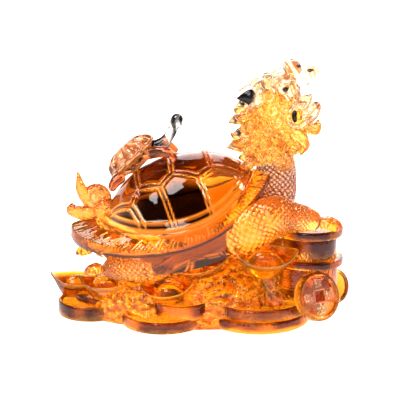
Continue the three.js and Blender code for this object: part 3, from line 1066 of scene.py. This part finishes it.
    def upright_coin(self) -> None:
        """The coin that stands behind the stacks at the right."""
        turn = UP.rotation_difference(Vector(self.upright_facing).normalized()).to_matrix().to_4x4()
        middle = Matrix.Translation((0, 0, -self.upright_thickness / 2))
        self.coin(Coin(0, 0, self.upright_radius, 0, self.upright_thickness), 56,
                  Matrix.Translation(self.upright_centre) @ turn @ middle, -0.5, 0.4)

    def lucky_coin(self) -> None:
        """The leaning coin with the square hole and four groups of short strokes."""
        yaw, lean = math.radians(self.lucky_yaw), math.radians(self.lucky_lean)
        facing = Vector((math.sin(yaw) * math.cos(lean), -math.cos(yaw) * math.cos(lean), math.sin(lean)))
        side = Vector((math.cos(yaw), math.sin(yaw), 0))
        place = Matrix((side, facing.cross(side), facing)).transposed().to_4x4()
        place.translation = Vector(self.lucky_centre) - facing * self.lucky_thickness
        face = self.lucky_thickness - self.face_depth
        plate = self.coin(Coin(0, 0, self.lucky_radius, 0, self.lucky_thickness), 72, place, -0.9, 0.1)
        # painted shade in the square hole
        self.forge.blank = (-1.0, 0.4)
        hole = self.forge.block((4.6, 4.6, 2), place @ Matrix.Translation((0, 0, face + 0.25)), 0.15)
        self.forge.made.remove(plate)
        self.forge.made.remove(hole)
        self.forge.made.append(fuse([plate, hole], Join.DIFFERENCE))
        # painted highlights on the rim bars and strokes
        self.forge.area, self.forge.blank = Area.FACE, (1.0, 0.0)
        for k in range(4):
            quarter = place @ Matrix.Rotation(k * math.pi / 2, 4, "Z")
            rim = Matrix.Translation((3.0, 0, face + 0.1))
            self.forge.block((0.7, 6.2, 1.5), quarter @ rim, 0.15)
            middle = Matrix.Translation((0, 6.4, face))
            for x, y, width, height in self.strokes:
                tilt = Matrix.Rotation(math.radians(9 * math.sin(7 * x + 3 * y + k)), 4, "Z")
                self.forge.block((width * 1.15, height, 1.7),
                                 quarter @ middle @ Matrix.Translation((x, y, 0)) @ tilt, 0.14)

    def make(self) -> list[bpy.types.Object]:
        """Builds the base.

        Returns:
            Its pieces.
        """
        self.heap()
        for coin in (*self.near_stack, *self.far_stack, *self.foot_coins):
            self.coin(coin)
        self.upright_coin()
        for ingot in self.ingots:
            self.ingot(ingot)
        self.lump()
        self.lucky_coin()
        return self.forge.made


def scales(around: int, lengthwise: float, height: float) -> Relief:
    """Relief of small overlapping scales in diagonal rows.

    Args:
        around: Scales round the limb.
        lengthwise: Scales along it.
        height: Their height in millimetres.

    Returns:
        The relief for a limb.
    """

    def relief(share: float, angle: float, _: float) -> float:
        """Height of the scales.

        Args:
            share: Share along the limb.
            angle: Angle round it.

        Returns:
            The height in millimetres.
        """
        a = angle / TAU * around
        b = share * lengthwise
        weave = abs(math.cos(math.pi * (a + b)) * math.cos(math.pi * (a - b)))
        return height * (weave**0.55 - 0.45)

    return relief


def curled(count: int, height: float, winding: float = 36) -> Callable[[Vector], float]:
    """Relief of spiral locks that lie close together on a ball.

    Args:
        count: Number of locks.
        height: Their height as a share of the ball's size.
        winding: How tightly they wind.

    Returns:
        The relief for a ball.
    """
    middles = [spread(i, 1 - 2 * (i + 0.5) / count) for i in range(count)]

    def relief(unit: Vector) -> float:
        """Height of the locks.

        Args:
            unit: Place on the unit sphere.

        Returns:
            The height as a share of the ball's size.
        """
        near = min(range(count), key=lambda i: (unit - middles[i]).length_squared)
        way = unit - middles[near]
        side = middles[near].orthogonal().normalized()
        turn = math.atan2(way.dot(middles[near].cross(side)), way.dot(side))
        hand = 1 if near % 2 else -1
        bulge = 1 - way.length_squared * count / 5
        return height * (0.6 * bulge - 0.3 + 0.55 * math.cos(winding * way.length + hand * turn))

    return relief


@dataclass
class Limbs:
    """Chest, neck and the four scaled legs with clawed feet."""

    base: Base
    forge: Forge = field(default_factory=lambda: Forge("limbs"))
    neck_line: tuple[Point, ...] = ((30, 0, 46), (36.5, 0, 58), (38.2, 0, 68), (36.5, 0, 78), (35, 0, 88))
    rear_knee: Point = (-25, 22, 32)

    def toes(self, ankle: Point, direction: Point, spacing: float, length: float, radius: float) -> None:
        """Toes and claws of one foot.

        Args:
            ankle: Where they start.
            direction: Where the foot points, in the ground plane.
            spacing: Angle between toes in degrees.
            length: Of the middle toe.
            radius: Of a toe.
        """

        def wrinkles(share: float, *_: float) -> float:
            """Height of the folds across a toe, which end before the claw."""
            return 0.22 * math.cos(share * 34) * smooth(0.7, 0.5, share) if share < 0.7 else 0

        heading = math.atan2(direction[1], direction[0])
        start = Vector(ankle)
        for place in (-1, 0, 1):
            angle = heading + place * math.radians(spacing)
            reach = length * (1 - 0.15 * abs(place))
            way = Vector((math.cos(angle), math.sin(angle), 0))
            middle = start + way * reach * 0.45 + UP * radius * 0.35
            knuckle = start + way * reach * 0.75 - UP * radius * 0.1
            tip = start + way * reach - UP * radius * 0.8
            radii = [radius * 1.2, radius * 1.1, radius * 0.9, radius * 0.25]
            self.forge.limb([start, middle, knuckle, tip], radii, 14, 14, relief=wrinkles)

    def front(self, side: int, standing: float, reach: float, fine: int) -> None:
        """A front leg set down on a stack of coins.

        Args:
            side: -1 for the figure's right, 1 for its left.
            standing: Height of the stack's top.
            reach: Where the foot ends along the figure.
            fine: Corners per scale.
        """
        sole = standing + 3.2
        path = [(4, side * 19, standing - 5), (20, side * 20, standing),
                (reach - 23, side * 21.5, standing + 7.2), (reach - 11, side * 21.5, standing + 6.8),
                (reach, side * 20.5, sole + 1.2)]
        self.forge.limb(path, [10, 12.5, 10, 6.8, 4], 18 * fine, 22 * fine, relief=scales(18, 21, 0.6))
        self.toes((reach - 1, side * 20.5, sole), (1, side * 0.05), 24, 11.5, 2.8)

    def rear(self, side: int, heading: Point, foot: Point, fine: int) -> None:
        """A rear leg that reaches back over the heap.

        Args:
            side: -1 for the figure's right, 1 for its left.
            heading: Where the foot points, in the ground plane.
            foot: Where the leg ends.
            fine: Corners per scale.
        """
        x, y, z = self.rear_knee
        knee = Vector((x, side * y, z))
        path = [(-12, side * 18, 34), knee, knee.lerp(Vector(foot), 0.55), foot]
        self.forge.limb(path, [9, 10, 6.6, 4], 18 * fine, 18 * fine, relief=scales(18, 15, 0.75))
        self.toes(foot, heading, 26, 9, 2.4)

    def chest(self) -> None:
        """The scaled chest between the front legs."""
        weave = scales(34, 19, 0.045)

        def relief(unit: Vector) -> float:
            """Height of the scales at a place of the unit sphere."""
            return weave(math.acos(clamp(unit.z, -1)) / math.pi, math.atan2(unit.y, unit.x), 0)

        # paint 26 paints the chest scales as highlights and shade
        self.forge.ball((26, 0, 48), (18, 22, 12), (0, -20, 0), 110, 50, relief, 0, 26)

    def make(self) -> list[bpy.types.Object]:
        """Builds chest, neck and legs.

        Returns:
            Their pieces.
        """
        # the scales' relief of legs and neck is painted into the colour as highlights and shade
        self.forge.area = Area.HIDE
        self.chest()
        self.front(-1, self.base.near_top, 58, 4)
        self.front(1, self.base.far_top, 51, 3)
        self.rear(-1, (-1, 0.05), (-47, -23, 27.6), 4)
        self.rear(1, (-1, -0.2), (-55, 15, 27), 3)
        self.forge.area = Area.NECK
        self.forge.limb(self.neck_line, [13, 10, 9, 9.4, 10], 88, 64, relief=scales(21, 15, 0.85))
        return self.forge.made


@dataclass
class Head:
    """Dragon head that looks up and forward, with its mouth open and a curled mane."""

    forge: Forge = field(default_factory=lambda: Forge("head"))
    mane_centre: Point = (30.5, 0, 90)
    mane_size: Point = (10.6, 13.6, 16)
    curls: int = 40
    spikes: tuple[tuple[float, ...], ...] = (
        (27, 106, 17, 103.4, 3.4), (25, 98, 13.6, 95.6, 4), (25, 91, 15.8, 89.6, 3.4), (24, 84, 13, 83.2, 4),
    )
    locks: tuple[tuple[Point, Point, Point, float], ...] = (
        ((26, 9, 104), (20, 10, 100), (16.5, 9, 101), 3), ((25, 10, 92), (19, 11, 87.5), (15, 10, 88.5), 3),
        ((27, 10, 81), (22.5, 11, 77), (19, 10, 76.2), 3),
        ((40, 10, 84), (42.5, 11.5, 77.5), (35.5, 11.5, 74.2), 2.6),
        ((44, 7, 93), (50.5, 6.5, 87), (48.6, 5, 80.2), 3.2),
        ((48, 6, 97), (55.5, 5, 92.5), (58.5, 4, 96.6), 2.8),
    )
    large_curls: tuple[tuple[float, ...], ...] = (
        (38.1, 11.2, 86.4, 4.8), (29.4, 12.2, 96.5, 4.8), (38.6, 9.6, 107.8, 4),
    )

    def both(self, points: Sequence[Point], radii: Sequence[float], strands: int = 5) -> None:
        """The same lock on both sides of the head.

        Args:
            points: Points of the lock on the left, at positive Y.
            radii: Radii along it.
            strands: Number of its strands.
        """

        def wave(share: float, angle: float) -> float:
            """Height of the strands, from -1 to 1."""
            return math.cos(strands * angle + 4 * share)

        # the strands are painted as highlights and shade
        for side in (-1, 1):
            self.forge.limb([(x, side * y, z) for x, y, z in points], radii, strands * 4, 16,
                            relief=lambda share, angle, radius: 0.1 * radius * wave(share, angle),
                            mark=lambda share, angle: (0.6 * wave(share, angle), 0.0))

    def curl(self, centre: Vector, out: Vector, radius: float, thick: float, turns: float, start: float,
             hand: int) -> None:
        """A spiral lock that lies on the mane.

        Args:
            centre: Middle of the spiral.
            out: Direction away from the mane.
            radius: Outer radius.
            thick: Radius of the lock.
            turns: Number of turns.
            start: Angle at which it starts.
            hand: 1 or -1, the way it winds.
        """
        turn = UP.rotation_difference(out.normalized())
        points = []
        steps = max(int(turns * 8), 6)
        for i in range(steps + 1):
            share = i / steps
            angle = start + hand * share * turns * TAU
            reach = (radius - thick) * (1 - share) ** 0.8
            lift = thick * (0.1 + 1.1 * share)
            points.append(centre + turn @ Vector((reach * math.cos(angle), reach * math.sin(angle), lift)))
        self.forge.limb(points, [thick * 0.5, thick, thick * 0.95, thick * 0.8, thick * 0.5], 8, steps * 2)

    def mane(self) -> None:
        """The mass of the mane and beard, and the curls that cover it."""
        centre, size = Vector(self.mane_centre), Vector(self.mane_size)
        self.forge.area = Area.MANE
        # paint 14 and 10 paint the curls as highlights and shade
        self.forge.ball(centre, size, (0, 0, 0), 150, 74, curled(64, 0.075, 34), 0.1, 14)
        self.forge.ball((45.2, 0, 87.5), (7, 7.4, 7.4), (0, 0, 0), 90, 44, curled(22, 0.09, 22), 0, 10)
        self.forge.ball((36.5, 0, 82), (9.6, 12, 8.6), (0, 20, 0), 110, 54, curled(40, 0.09, 28), 0, 10)
        for i in range(self.curls):
            unit = spread(i, 0.9 - 1.75 * (i + 0.5) / self.curls)
            if unit.x > 0.75 and unit.z > -0.2:
                continue
            place = Vector((unit.x * size.x, unit.y * size.y, unit.z * size.z))
            out = Vector((unit.x / size.x, unit.y / size.y, unit.z / size.z)).normalized()
            radius = 3.0 + 0.9 * math.sin(i * 1.7)
            self.curl(centre + place * 0.99, out, radius, 0.78, 1.6, i * 1.3, 1 if i % 2 else -1)

    def jaws(self) -> None:
        """Brow, upper jaw with the nose, lower jaw and tongue."""

        def wrinkle(share: float, angle: float) -> float:
            """Height of the folds on the bridge of the nose, from -1 to 1."""
            return math.cos(7 * angle + 16 * share) * math.sin(21 * share)

        forge = self.forge
        forge.area = Area.MANE
        # paint 14 paints the curls of the brow as highlights and shade
        forge.ball((35.5, 0, 100), (10.5, 12, 14), (0, 12, 0), 116, 58, curled(42, 0.07, 28), 0, 14)
        forge.area = Area.FACE
        # the folds of nose, muzzle and lower jaw are painted as highlights and shade
        forge.limb([(36, 0, 104), (41, 0, 112), (45.5, 0, 118)], [10, 8.2, 6.4], 72, 40,
                   relief=lambda share, angle, _: 0.4 * wrinkle(share, angle),
                   mark=lambda share, angle: (1.2 * wrinkle(share, angle), 0.0))
        forge.ball((53.6, 0, 120.4), (4, 6.2, 4.2), (0, 30, 0), 48, 24,
                   lambda p: 0.035 * math.cos(9 * p.z + 8 * p.x), 0, 24)
        forge.limb([(44, 0, 119), (49, 0, 117.6), (54, 0, 118.6)], [6, 4.6, 4], 24, 12)
        forge.limb([(40, 0, 98), (48, 0, 99.5), (54, 0, 102), (58.4, 0, 105.2)], [9, 7, 5, 1.6], 64, 36,
                   relief=lambda share, angle, _: 0.3 * math.cos(9 * angle + 10 * share))
        forge.limb([(44, 0, 104), (50, 0, 106), (54.5, 0, 109.5)], [4.5, 3.4, 1.2], 20, 12)

    def crest(self) -> None:
        """The row of spikes down the nape, each with a dark bead on both sides."""
        for x, z, tip_x, tip_z, radius in self.spikes:
            middle = (mix(x, tip_x, 0.6), 0, mix(z, tip_z, 0.6) + 0.8)
            self.forge.limb([(x, 0, z), middle, (tip_x, 0, tip_z)], [radius, radius * 0.7, 0.5], 20, 14)
            for side in (-1, 1):
                bead = (mix(x, tip_x, 0.62), side * radius * 0.55, mix(z, tip_z, 0.62) + 0.8)
                self.forge.ball(bead, (1, 0.9, 0.9), shade=1)

    def face(self, side: int) -> None:
        """Nose lobe, nostril, eyes, horn stump, ear and whisker hoop of one side.

        Args:
            side: -1 for the figure's right, 1 for its left.
        """

        def ear_mark(share: float, _: float) -> Marks:
            """Colours the near ear dark, as it is in the photograph."""
            # painted shade: the near ear is darkened as a dark refraction, the far ear stays clear
            return 0.0, smooth(0.3, 0.45, share) if side < 0 else 0.0

        forge = self.forge
        # paint 26 paints the lobe's relief as highlights and shade
        forge.ball((44.4, side * 3.9, 122.6), (4.4, 3.8, 3.95), columns=48, rings=24,
                   relief=lambda p: 0.035 * math.cos(9 * p.x + 5 * p.z) * (1 - p.z**4), paint=26)
        # painted shade at the two nostrils
        forge.ball((46.8, side * 7.0, 124.0), (1.2, 0.7, 0.8), shade=0.9)
        forge.ball((52.6, side * 5.4, 121.8), (1.6, 1.0, 0.9), shade=0.9)
        forge.ball((40.2, side * 8.6, 113.4), (3, 2.6, 3))
        forge.ball((40.4, side * 10.2, 113.4), (1.7, 1.3, 1.5), shade=1)
        forge.ball((32.6, side * 4, 116.2), (4, 3.4, 3.8))
        # painted shade in the hollow of the whisker hoop
        forge.ball((45.4, side * 8.6, 100.2), (1.5, 2.2, 2.9), columns=28, rings=16, shade=0.95)
        forge.area = Area.COINS
        forge.ball((47.3, side * 8.6, 100.4), (1.9, 2.4, 2.6), columns=28, rings=16)
        forge.area = Area.FACE
        forge.limb([(30, side * 8, 107.5), (24, side * 9.5, 109.4), (17.4, side * 9, 108.8)], [3, 4, 0.4],
                   24, 28, 0.55, beside=UP, mark=ear_mark)
        hoop = [(46.6 + 4.6 * math.cos(a), side * (8.2 + 0.6 * math.cos(a)), 100.2 + 5.2 * math.sin(a))
                for a in (i / 12 * TAU for i in range(13))]
        forge.limb(hoop, [1.2, 1.3, 1.4, 1.4, 1.3, 1.2], 10, 36)

    def make(self) -> list[bpy.types.Object]:
        """Builds the head.

        Returns:
            Its pieces.
        """
        self.mane()
        self.jaws()
        self.crest()
        for side in (-1, 1):
            self.face(side)
        self.both([(34, 8, 114), (39.5, 9.2, 118.4), (46, 6.5, 117)], [2.6, 2.7, 1])
        self.both([(35, 5, 116), (27.5, 7.5, 114), (24.5, 9.5, 104.5), (22, 10, 99)], [2.9, 2.6, 2, 0.6], 3)
        self.forge.area = Area.MANE
        for *points, radius in self.locks:
            self.both(points, [radius, radius * 0.9, radius * 0.2])
        for x, y, z, radius in self.large_curls:
            for side in (-1, 1):
                self.curl(Vector((x, side * y, z)), Vector((0.15, side, 0.1)), radius, 1.3, 1.8, 0.6, side)
        return self.forge.made


@dataclass
class Tail:
    """Cloud-shaped tuft turned up over the back of the shell."""

    forge: Forge = field(default_factory=lambda: Forge("tail"))

    def make(self) -> list[bpy.types.Object]:
        """Builds the tail.

        Returns:
            Its pieces.
        """
        forge = self.forge
        forge.area = Area.TAIL
        forge.limb([(-38, 0, 50), (-47, 0, 52), (-53, 0, 54)], [7, 6, 6], 28, 14)
        # paint 20 paints the tuft's rings as highlights and shade
        forge.ball((-51, 0, 58.2), (7.5, 7.3, 3.6), (90, 0, 0), 80, 40,
                   lambda p: 0.035 * math.cos(15 * math.hypot(p.x, p.y) + math.atan2(p.y, p.x)), 0.1, 20)
        forge.limb([(-54, 0, 56), (-58.4, 0, 62), (-60.2, 0, 71.4)], [4, 3, 0.7], 20, 20)
        forge.limb([(-50, 0, 51.5), (-58, 0, 50.5), (-63.5, 0, 52), (-62.5, 0, 55.5)], [4, 3.6, 3, 1], 20, 20)
        return forge.made


@dataclass
class YoungTurtle:
    """Young turtle that climbs over the crown of the shell."""

    forge: Forge = field(default_factory=lambda: Forge("young"))
    length: float = 27.5
    width: float = 19
    dome: float = 7
    body: float = 7
    ribs: int = 13
    tilt: float = 42
    centre: Point = (-33.4, 0, 79.2)
    profile: tuple[Marks, ...] = (
        (0, -1), (0.35, -0.95), (0.7, -0.7), (0.86, -0.4), (0.93, -0.16), (1.0, -0.1), (1.05, -0.04),
        (1.05, 0.02), (1.0, 0.06), (0.985, 0.12), (0.96, 0.22), (0.92, 0.36), (0.86, 0.5), (0.74, 0.66),
        (0.6, 0.8), (0.45, 0.89), (0.3, 0.95), (0.12, 0.99), (0, 1),
    )

    def shell(self, place: Matrix) -> None:
        """Its ribbed shell and its belly.

        Args:
            place: Where it goes.
        """

        def warp(share: float, z: float, angle: float) -> Vector:
            """Raises the ribs and places a corner.

            Args:
                share: Share of the half sizes.
                z: Share of the height of the dome, or of the body below 0.
                angle: Angle round the shell.

            Returns:
                The corner.
            """
            rib = 1 + 0.045 * math.cos(self.ribs * angle) * smooth(0.25, 0.6, share) if z > 0.08 else 1
            high = self.dome if z > 0 else self.body
            return place @ Vector((share * rib * math.cos(angle) * self.length / 2,
                                   share * rib * math.sin(angle) * self.width / 2, z * high * rib))

        def mark(share: float, z: float, angle: float) -> Marks:
            """Paints highlights on the ribs and the rim and shade on the belly.

            Args:
                share: Share of the half sizes.
                z: Share of the height.
                angle: Angle round the shell.

            Returns:
                Relief and shade of its colour.
            """
            rib = math.cos(self.ribs * angle) if z > 0.08 else 0.0
            return max(rib, bump((share - 1.05) / 0.05, 1) * 0.9), 0.5 if z < -0.1 else 0.0

        self.forge.area = Area.YOUNG
        self.forge.lathe(self.profile, 104, warp, mark)

    def make(self) -> list[bpy.types.Object]:
        """Builds the young turtle.

        Returns:
            Its pieces.
        """
        forge = self.forge
        place = Matrix.Translation(self.centre) @ Matrix.Rotation(math.radians(-self.tilt), 4, "Y")
        self.shell(place)
        root, out = place @ Vector((8, 0, -3)), place @ Vector((14, 0, -5.5))
        forge.area = Area.SMOKE
        # painted highlights and shade in bands round the neck and head
        forge.limb([root, out, (-15.6, 0, 88.5), (-12.5, 0, 94)], [4.6, 3.6, 2.6, 2.6], 32, 26,
                   mark=lambda share, angle: (math.cos(2 * angle + 5 * share) * 1.5, 0.0))
        forge.limb([(-13.4, 0, 92), (-11, 0, 97), (-8.4, 0, 98.6)], [2.6, 3.3, 1.9], 32, 24,
                   mark=lambda share, angle: (math.cos(3 * angle + 9 * share) * 1.5, 0.0))
        forge.area = Area.YOUNG
        for side in (-1, 1):
            shoulder, hip = place @ Vector((4, side * 4, -2)), place @ Vector((-8, side * 6, -4))
            forge.limb([shoulder, (-17.5, side * 9, 83), (-11, side * 11, 79.4)], [3, 2.8, 1.4], 16, 20)
            forge.limb([hip, (-41, side * 8, 68), (-43.4, side * 9, 63.5)], [3, 2.8, 1.8], 14, 14)
        return forge.made


@dataclass(frozen=True)
class AmberGlass:
    """Clear glass that is nearly colourless in the head and amber in the body."""

    roughness: float = 0.04
    ior: float = 1.5
    absorption: tuple[float, float, float, float] = (0.985, 0.68, 0.12, 1.0)
    density: float = 27.0
    transmission: float = 0.88
    grain_scale: float = 800.0
    grain_strength: float = 1.0
    grain_height: float = 0.0008

    def make(self) -> bpy.types.Material:
        """Builds the material.

        Returns:
            The material.
        """
        made = bpy.data.materials.new("amber_glass")
        made.use_nodes = True
        nodes, links = made.node_tree.nodes, made.node_tree.links
        shader = nodes["Principled BSDF"]
        shader.inputs["Roughness"].default_value = self.roughness
        shader.inputs["IOR"].default_value = self.ior
        shader.inputs["Transmission Weight"].default_value = self.transmission
        tint = nodes.new("ShaderNodeAttribute")
        tint.attribute_name = "tint"
        links.new(tint.outputs["Color"], shader.inputs["Base Color"])
        place = nodes.new("ShaderNodeTexCoord")
        grains = nodes.new("ShaderNodeTexVoronoi")
        grains.inputs["Scale"].default_value = self.grain_scale
        links.new(place.outputs["Object"], grains.inputs["Vector"])
        amount = nodes.new("ShaderNodeMapRange")
        amount.inputs["From Min"].default_value = 0.5
        amount.inputs["To Max"].default_value = self.grain_strength
        links.new(tint.outputs["Alpha"], amount.inputs["Value"])
        bumps = nodes.new("ShaderNodeBump")
        bumps.inputs["Distance"].default_value = self.grain_height
        links.new(grains.outputs["Distance"], bumps.inputs["Height"])
        links.new(amount.outputs["Result"], bumps.inputs["Strength"])
        links.new(bumps.outputs["Normal"], shader.inputs["Normal"])
        inside = nodes.new("ShaderNodeVolumeAbsorption")
        inside.inputs["Color"].default_value = self.absorption
        inside.inputs["Density"].default_value = self.density
        links.new(inside.outputs["Volume"], nodes["Material Output"].inputs["Volume"])
        return made


@dataclass
class Casting:
    """The whole figure as one piece."""

    glass: AmberGlass
    most_faces: int = 196000
    white: float = 0.95
    weld: float = 1e-4
    crease: float = 38
    repaints: int = 6

    def thin(self, whole: bpy.types.Object) -> None:
        """Takes away slivers along the joins until the casting has few enough faces.

        Args:
            whole: The casting, whose mesh is replaced.
        """
        count = len(whole.data.polygons)
        if count <= self.most_faces:
            return
        fewer = whole.modifiers.new("fewer", "DECIMATE")
        fewer.ratio = self.most_faces / count
        fewer.vertex_group = "joins"
        renewed(whole)
        whole.vertex_groups.clear()

    def drop_crumbs(self, bm: bmesh.types.BMesh) -> None:
        """Keeps the largest connected part and drops the closed crumbs that the joins left.

        Args:
            bm: The joined mesh.
        """
        left = set(bm.verts)
        groups = []
        while left:
            group = {left.pop()}
            front = list(group)
            while front:
                near = {e.other_vert(v) for v in front for e in v.link_edges} - group
                group |= near
                front = list(near)
            left -= group
            groups.append(group)
        groups.sort(key=len)
        for group in groups[:-1]:
            bmesh.ops.delete(bm, geom=list(group), context="VERTS")

    def repaint(self, bm: bmesh.types.BMesh) -> None:
        """Gives the corners that the joins made, which are white, the colour of their neighbours.

        Args:
            bm: The joined mesh.
        """
        tints = bm.verts.layers.float_color["tint"]
        for _ in range(self.repaints):
            found = []
            for vert in (v for v in bm.verts if v[tints].w > self.white):
                near = [e.other_vert(vert)[tints] for e in vert.link_edges]
                near = [c for c in near if c.w <= self.white]
                if near:
                    found.append((vert, sum(near, Vector((0, 0, 0, 0))) / len(near)))
            for vert, colour in found:
                vert[tints] = colour

    def clean(self, whole: bpy.types.Object) -> None:
        """Welds and paints the joined mesh and marks the corners that the joins made.

        Args:
            whole: The casting.
        """
        whole.vertex_groups.new(name="joins")
        bm = bmesh.new()
        bm.from_mesh(whole.data)
        bmesh.ops.remove_doubles(bm, verts=bm.verts, dist=self.weld)
        bmesh.ops.triangulate(bm, faces=bm.faces[:])
        self.drop_crumbs(bm)
        joins = bm.verts.layers.deform.verify()
        tints = bm.verts.layers.float_color["tint"]
        for vert in bm.verts:
            vert[joins][0] = float(vert[tints].w > self.white)
        self.repaint(bm)
        bm.to_mesh(whole.data)
        bm.free()

    def smooth_faces(self, whole: bpy.types.Object) -> None:
        """Turns the faces outwards, makes them smooth up to the creases, and scales all to metres.

        Args:
            whole: The casting.
        """
        bm = bmesh.new()
        bm.from_mesh(whole.data)
        bmesh.ops.recalc_face_normals(bm, faces=bm.faces[:])
        bmesh.ops.scale(bm, vec=Vector((MM, MM, MM)), verts=bm.verts)
        for face in bm.faces:
            face.smooth = True
        for edge in bm.edges:
            flat = len(edge.link_faces) == 2 and edge.calc_face_angle(0) < math.radians(self.crease)
            edge.smooth = flat
        bm.to_mesh(whole.data)
        bm.free()

    def make(self, parts: Sequence[Forge]) -> bpy.types.Object:
        """Fuses all pieces, levels the underside and dresses the glass.

        Args:
            parts: The forges whose pieces are fused.

        Returns:
            The finished object.
        """
        whole = fuse([fuse(part.made) for part in parts])
        below = Forge("below").block((400, 400, 60), Matrix.Translation((0, 0, -30)), 0)
        whole = fuse([whole, below], Join.DIFFERENCE)
        self.clean(whole)
        self.thin(whole)
        self.smooth_faces(whole)
        whole.name = "glass_casting"
        whole.data.materials.clear()
        whole.data.materials.append(self.glass.make())
        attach(whole, "root")
        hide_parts("dragon_turtle")
        return whole


@dataclass(frozen=True)
class PaleFloor:
    """Matt white floor that glows a little, so that it stays pale under low views."""

    grey: float = 0.9
    roughness: float = 0.9
    glow: float = 0.8

    def make(self) -> bpy.types.Material:
        """Builds the material.

        Returns:
            The material.
        """
        made = bpy.data.materials.new("pale_floor")
        made.use_nodes = True
        shader = made.node_tree.nodes["Principled BSDF"]
        shader.inputs["Base Color"].default_value = (self.grey, self.grey, self.grey, 1)
        shader.inputs["Roughness"].default_value = self.roughness
        shader.inputs["Emission Color"].default_value = (1, 1, 1, 1)
        shader.inputs["Emission Strength"].default_value = self.glow
        return made


@dataclass(frozen=True)
class Lamp:
    """One soft square light: its name, its place and its side in metres, and its power in watts."""

    name: str
    place: Point
    side: float
    watts: float


@dataclass(frozen=True)
class Studio:
    """Pale floor, soft lights and the camera at the photograph's angle."""

    distance: float = 0.55
    aim: tuple[float, float, float] = (0, 0, 0.057)
    pitch: float = 13.2
    lens: float = 100
    sensor: float = 36
    floor_size: float = 6.0
    floor_gap: float = 0.0003
    sky: tuple[tuple[float, float], ...] = ((0.45, 1.1), (0.52, 2.4), (0.64, 2.4), (0.74, 0.3), (0.85, 0.03))
    front_share: float = 0.3
    gamma: float = 0.8
    lamps: tuple[Lamp, ...] = (
        Lamp("key", (-0.52, -0.22, 1.0), 0.62, 13), Lamp("front", (-0.35, -1.1, 0.7), 0.5, 6),
        Lamp("fill", (0.8, 0.1, 0.95), 0.3, 5), Lamp("rear", (0.1, 0.9, 0.8), 0.8, 8),
    )

    def camera(self) -> None:
        """Places the camera."""
        data = bpy.data.cameras.new("camera")
        data.lens = self.lens
        data.sensor_width = self.sensor
        made = bpy.data.objects.new("camera", data)
        bpy.context.scene.collection.objects.link(made)
        pitch = math.radians(self.pitch)
        made.location = Vector(self.aim) + Vector((0, -math.cos(pitch), math.sin(pitch))) * self.distance
        made.rotation_euler = (math.radians(90) - pitch, 0, 0)
        bpy.context.scene.camera = made

    def floor(self) -> None:
        """Lays the floor."""
        bm = bmesh.new()
        bmesh.ops.create_grid(bm, x_segments=2, y_segments=2, size=self.floor_size / 2)
        mesh = bpy.data.meshes.new("floor")
        bm.to_mesh(mesh)
        bm.free()
        made = bpy.data.objects.new("floor", mesh)
        made.location.z = -self.floor_gap
        bpy.context.scene.collection.objects.link(made)
        mesh.materials.append(PaleFloor().make())

    def hang(self, lamp: Lamp) -> None:
        """Hangs one soft light that faces the figure.

        Args:
            lamp: The light.
        """
        data = bpy.data.lights.new(lamp.name, "AREA")
        data.size = lamp.side
        data.energy = lamp.watts
        made = bpy.data.objects.new(lamp.name, data)
        made.location = lamp.place
        made.rotation_mode = "QUATERNION"
        made.rotation_quaternion = (Vector(lamp.place) - Vector(self.aim)).to_track_quat("Z", "Y")
        bpy.context.scene.collection.objects.link(made)

    def surroundings(self) -> None:
        """Makes a studio that is bright round the figure and dark overhead."""
        world = bpy.data.worlds.new("surroundings")
        world.use_nodes = True
        nodes, links = world.node_tree.nodes, world.node_tree.links
        direction = nodes.new("ShaderNodeTexCoord")
        split = nodes.new("ShaderNodeSeparateXYZ")
        links.new(direction.outputs["Generated"], split.inputs["Vector"])
        ramp = nodes.new("ShaderNodeValToRGB")
        ramp.color_ramp.elements.remove(ramp.color_ramp.elements[0])
        for i, (height, level) in enumerate(self.sky):
            element = ramp.color_ramp.elements[0] if i == 0 else ramp.color_ramp.elements.new(height)
            element.position = height
            element.color = (level, level, level, 1)
        lift = nodes.new("ShaderNodeMapRange")
        lift.inputs["From Min"].default_value = -1
        lift.inputs["From Max"].default_value = 1
        links.new(split.outputs["Z"], lift.inputs["Value"])
        links.new(lift.outputs["Result"], ramp.inputs["Fac"])
        side = nodes.new("ShaderNodeMapRange")
        side.inputs["From Min"].default_value = -0.5
        side.inputs["From Max"].default_value = 0.3
        side.inputs["To Min"].default_value = self.front_share
        links.new(split.outputs["Y"], side.inputs["Value"])
        dimmed = nodes.new("ShaderNodeVectorMath")
        dimmed.operation = "SCALE"
        links.new(ramp.outputs["Color"], dimmed.inputs[0])
        links.new(side.outputs["Result"], dimmed.inputs["Scale"])
        seen = nodes.new("ShaderNodeLightPath")
        plain = nodes.new("ShaderNodeMix")
        plain.data_type = "RGBA"
        links.new(seen.outputs["Is Camera Ray"], plain.inputs["Factor"])
        links.new(dimmed.outputs["Vector"], plain.inputs["A"])
        plain.inputs["B"].default_value = (1, 1, 1, 1)
        links.new(plain.outputs["Result"], nodes["Background"].inputs["Color"])
        bpy.context.scene.world = world

    def make(self) -> None:
        """Builds floor, lights, surroundings and camera."""
        self.floor()
        for lamp in self.lamps:
            self.hang(lamp)
        self.surroundings()
        view = bpy.context.scene.view_settings
        view.view_transform = "Standard"
        view.gamma = self.gamma
        self.camera()


def main() -> None:
    """Builds the figure and its studio."""
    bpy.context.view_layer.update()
    base = Base()
    parts = (base, Carapace(Shell()), Limbs(base), Head(), Tail(), YoungTurtle())
    for part in parts:
        part.make()
        LOG.info("%s: %d pieces", type(part).__name__, len(part.forge.made))
    whole = Casting(AmberGlass()).make([part.forge for part in parts])
    LOG.info("%s: %d triangles", whole.name, sum(len(p.vertices) - 2 for p in whole.data.polygons))
    Studio().make()


if __name__ == "__main__":
    logging.basicConfig(level=logging.INFO)
    main()
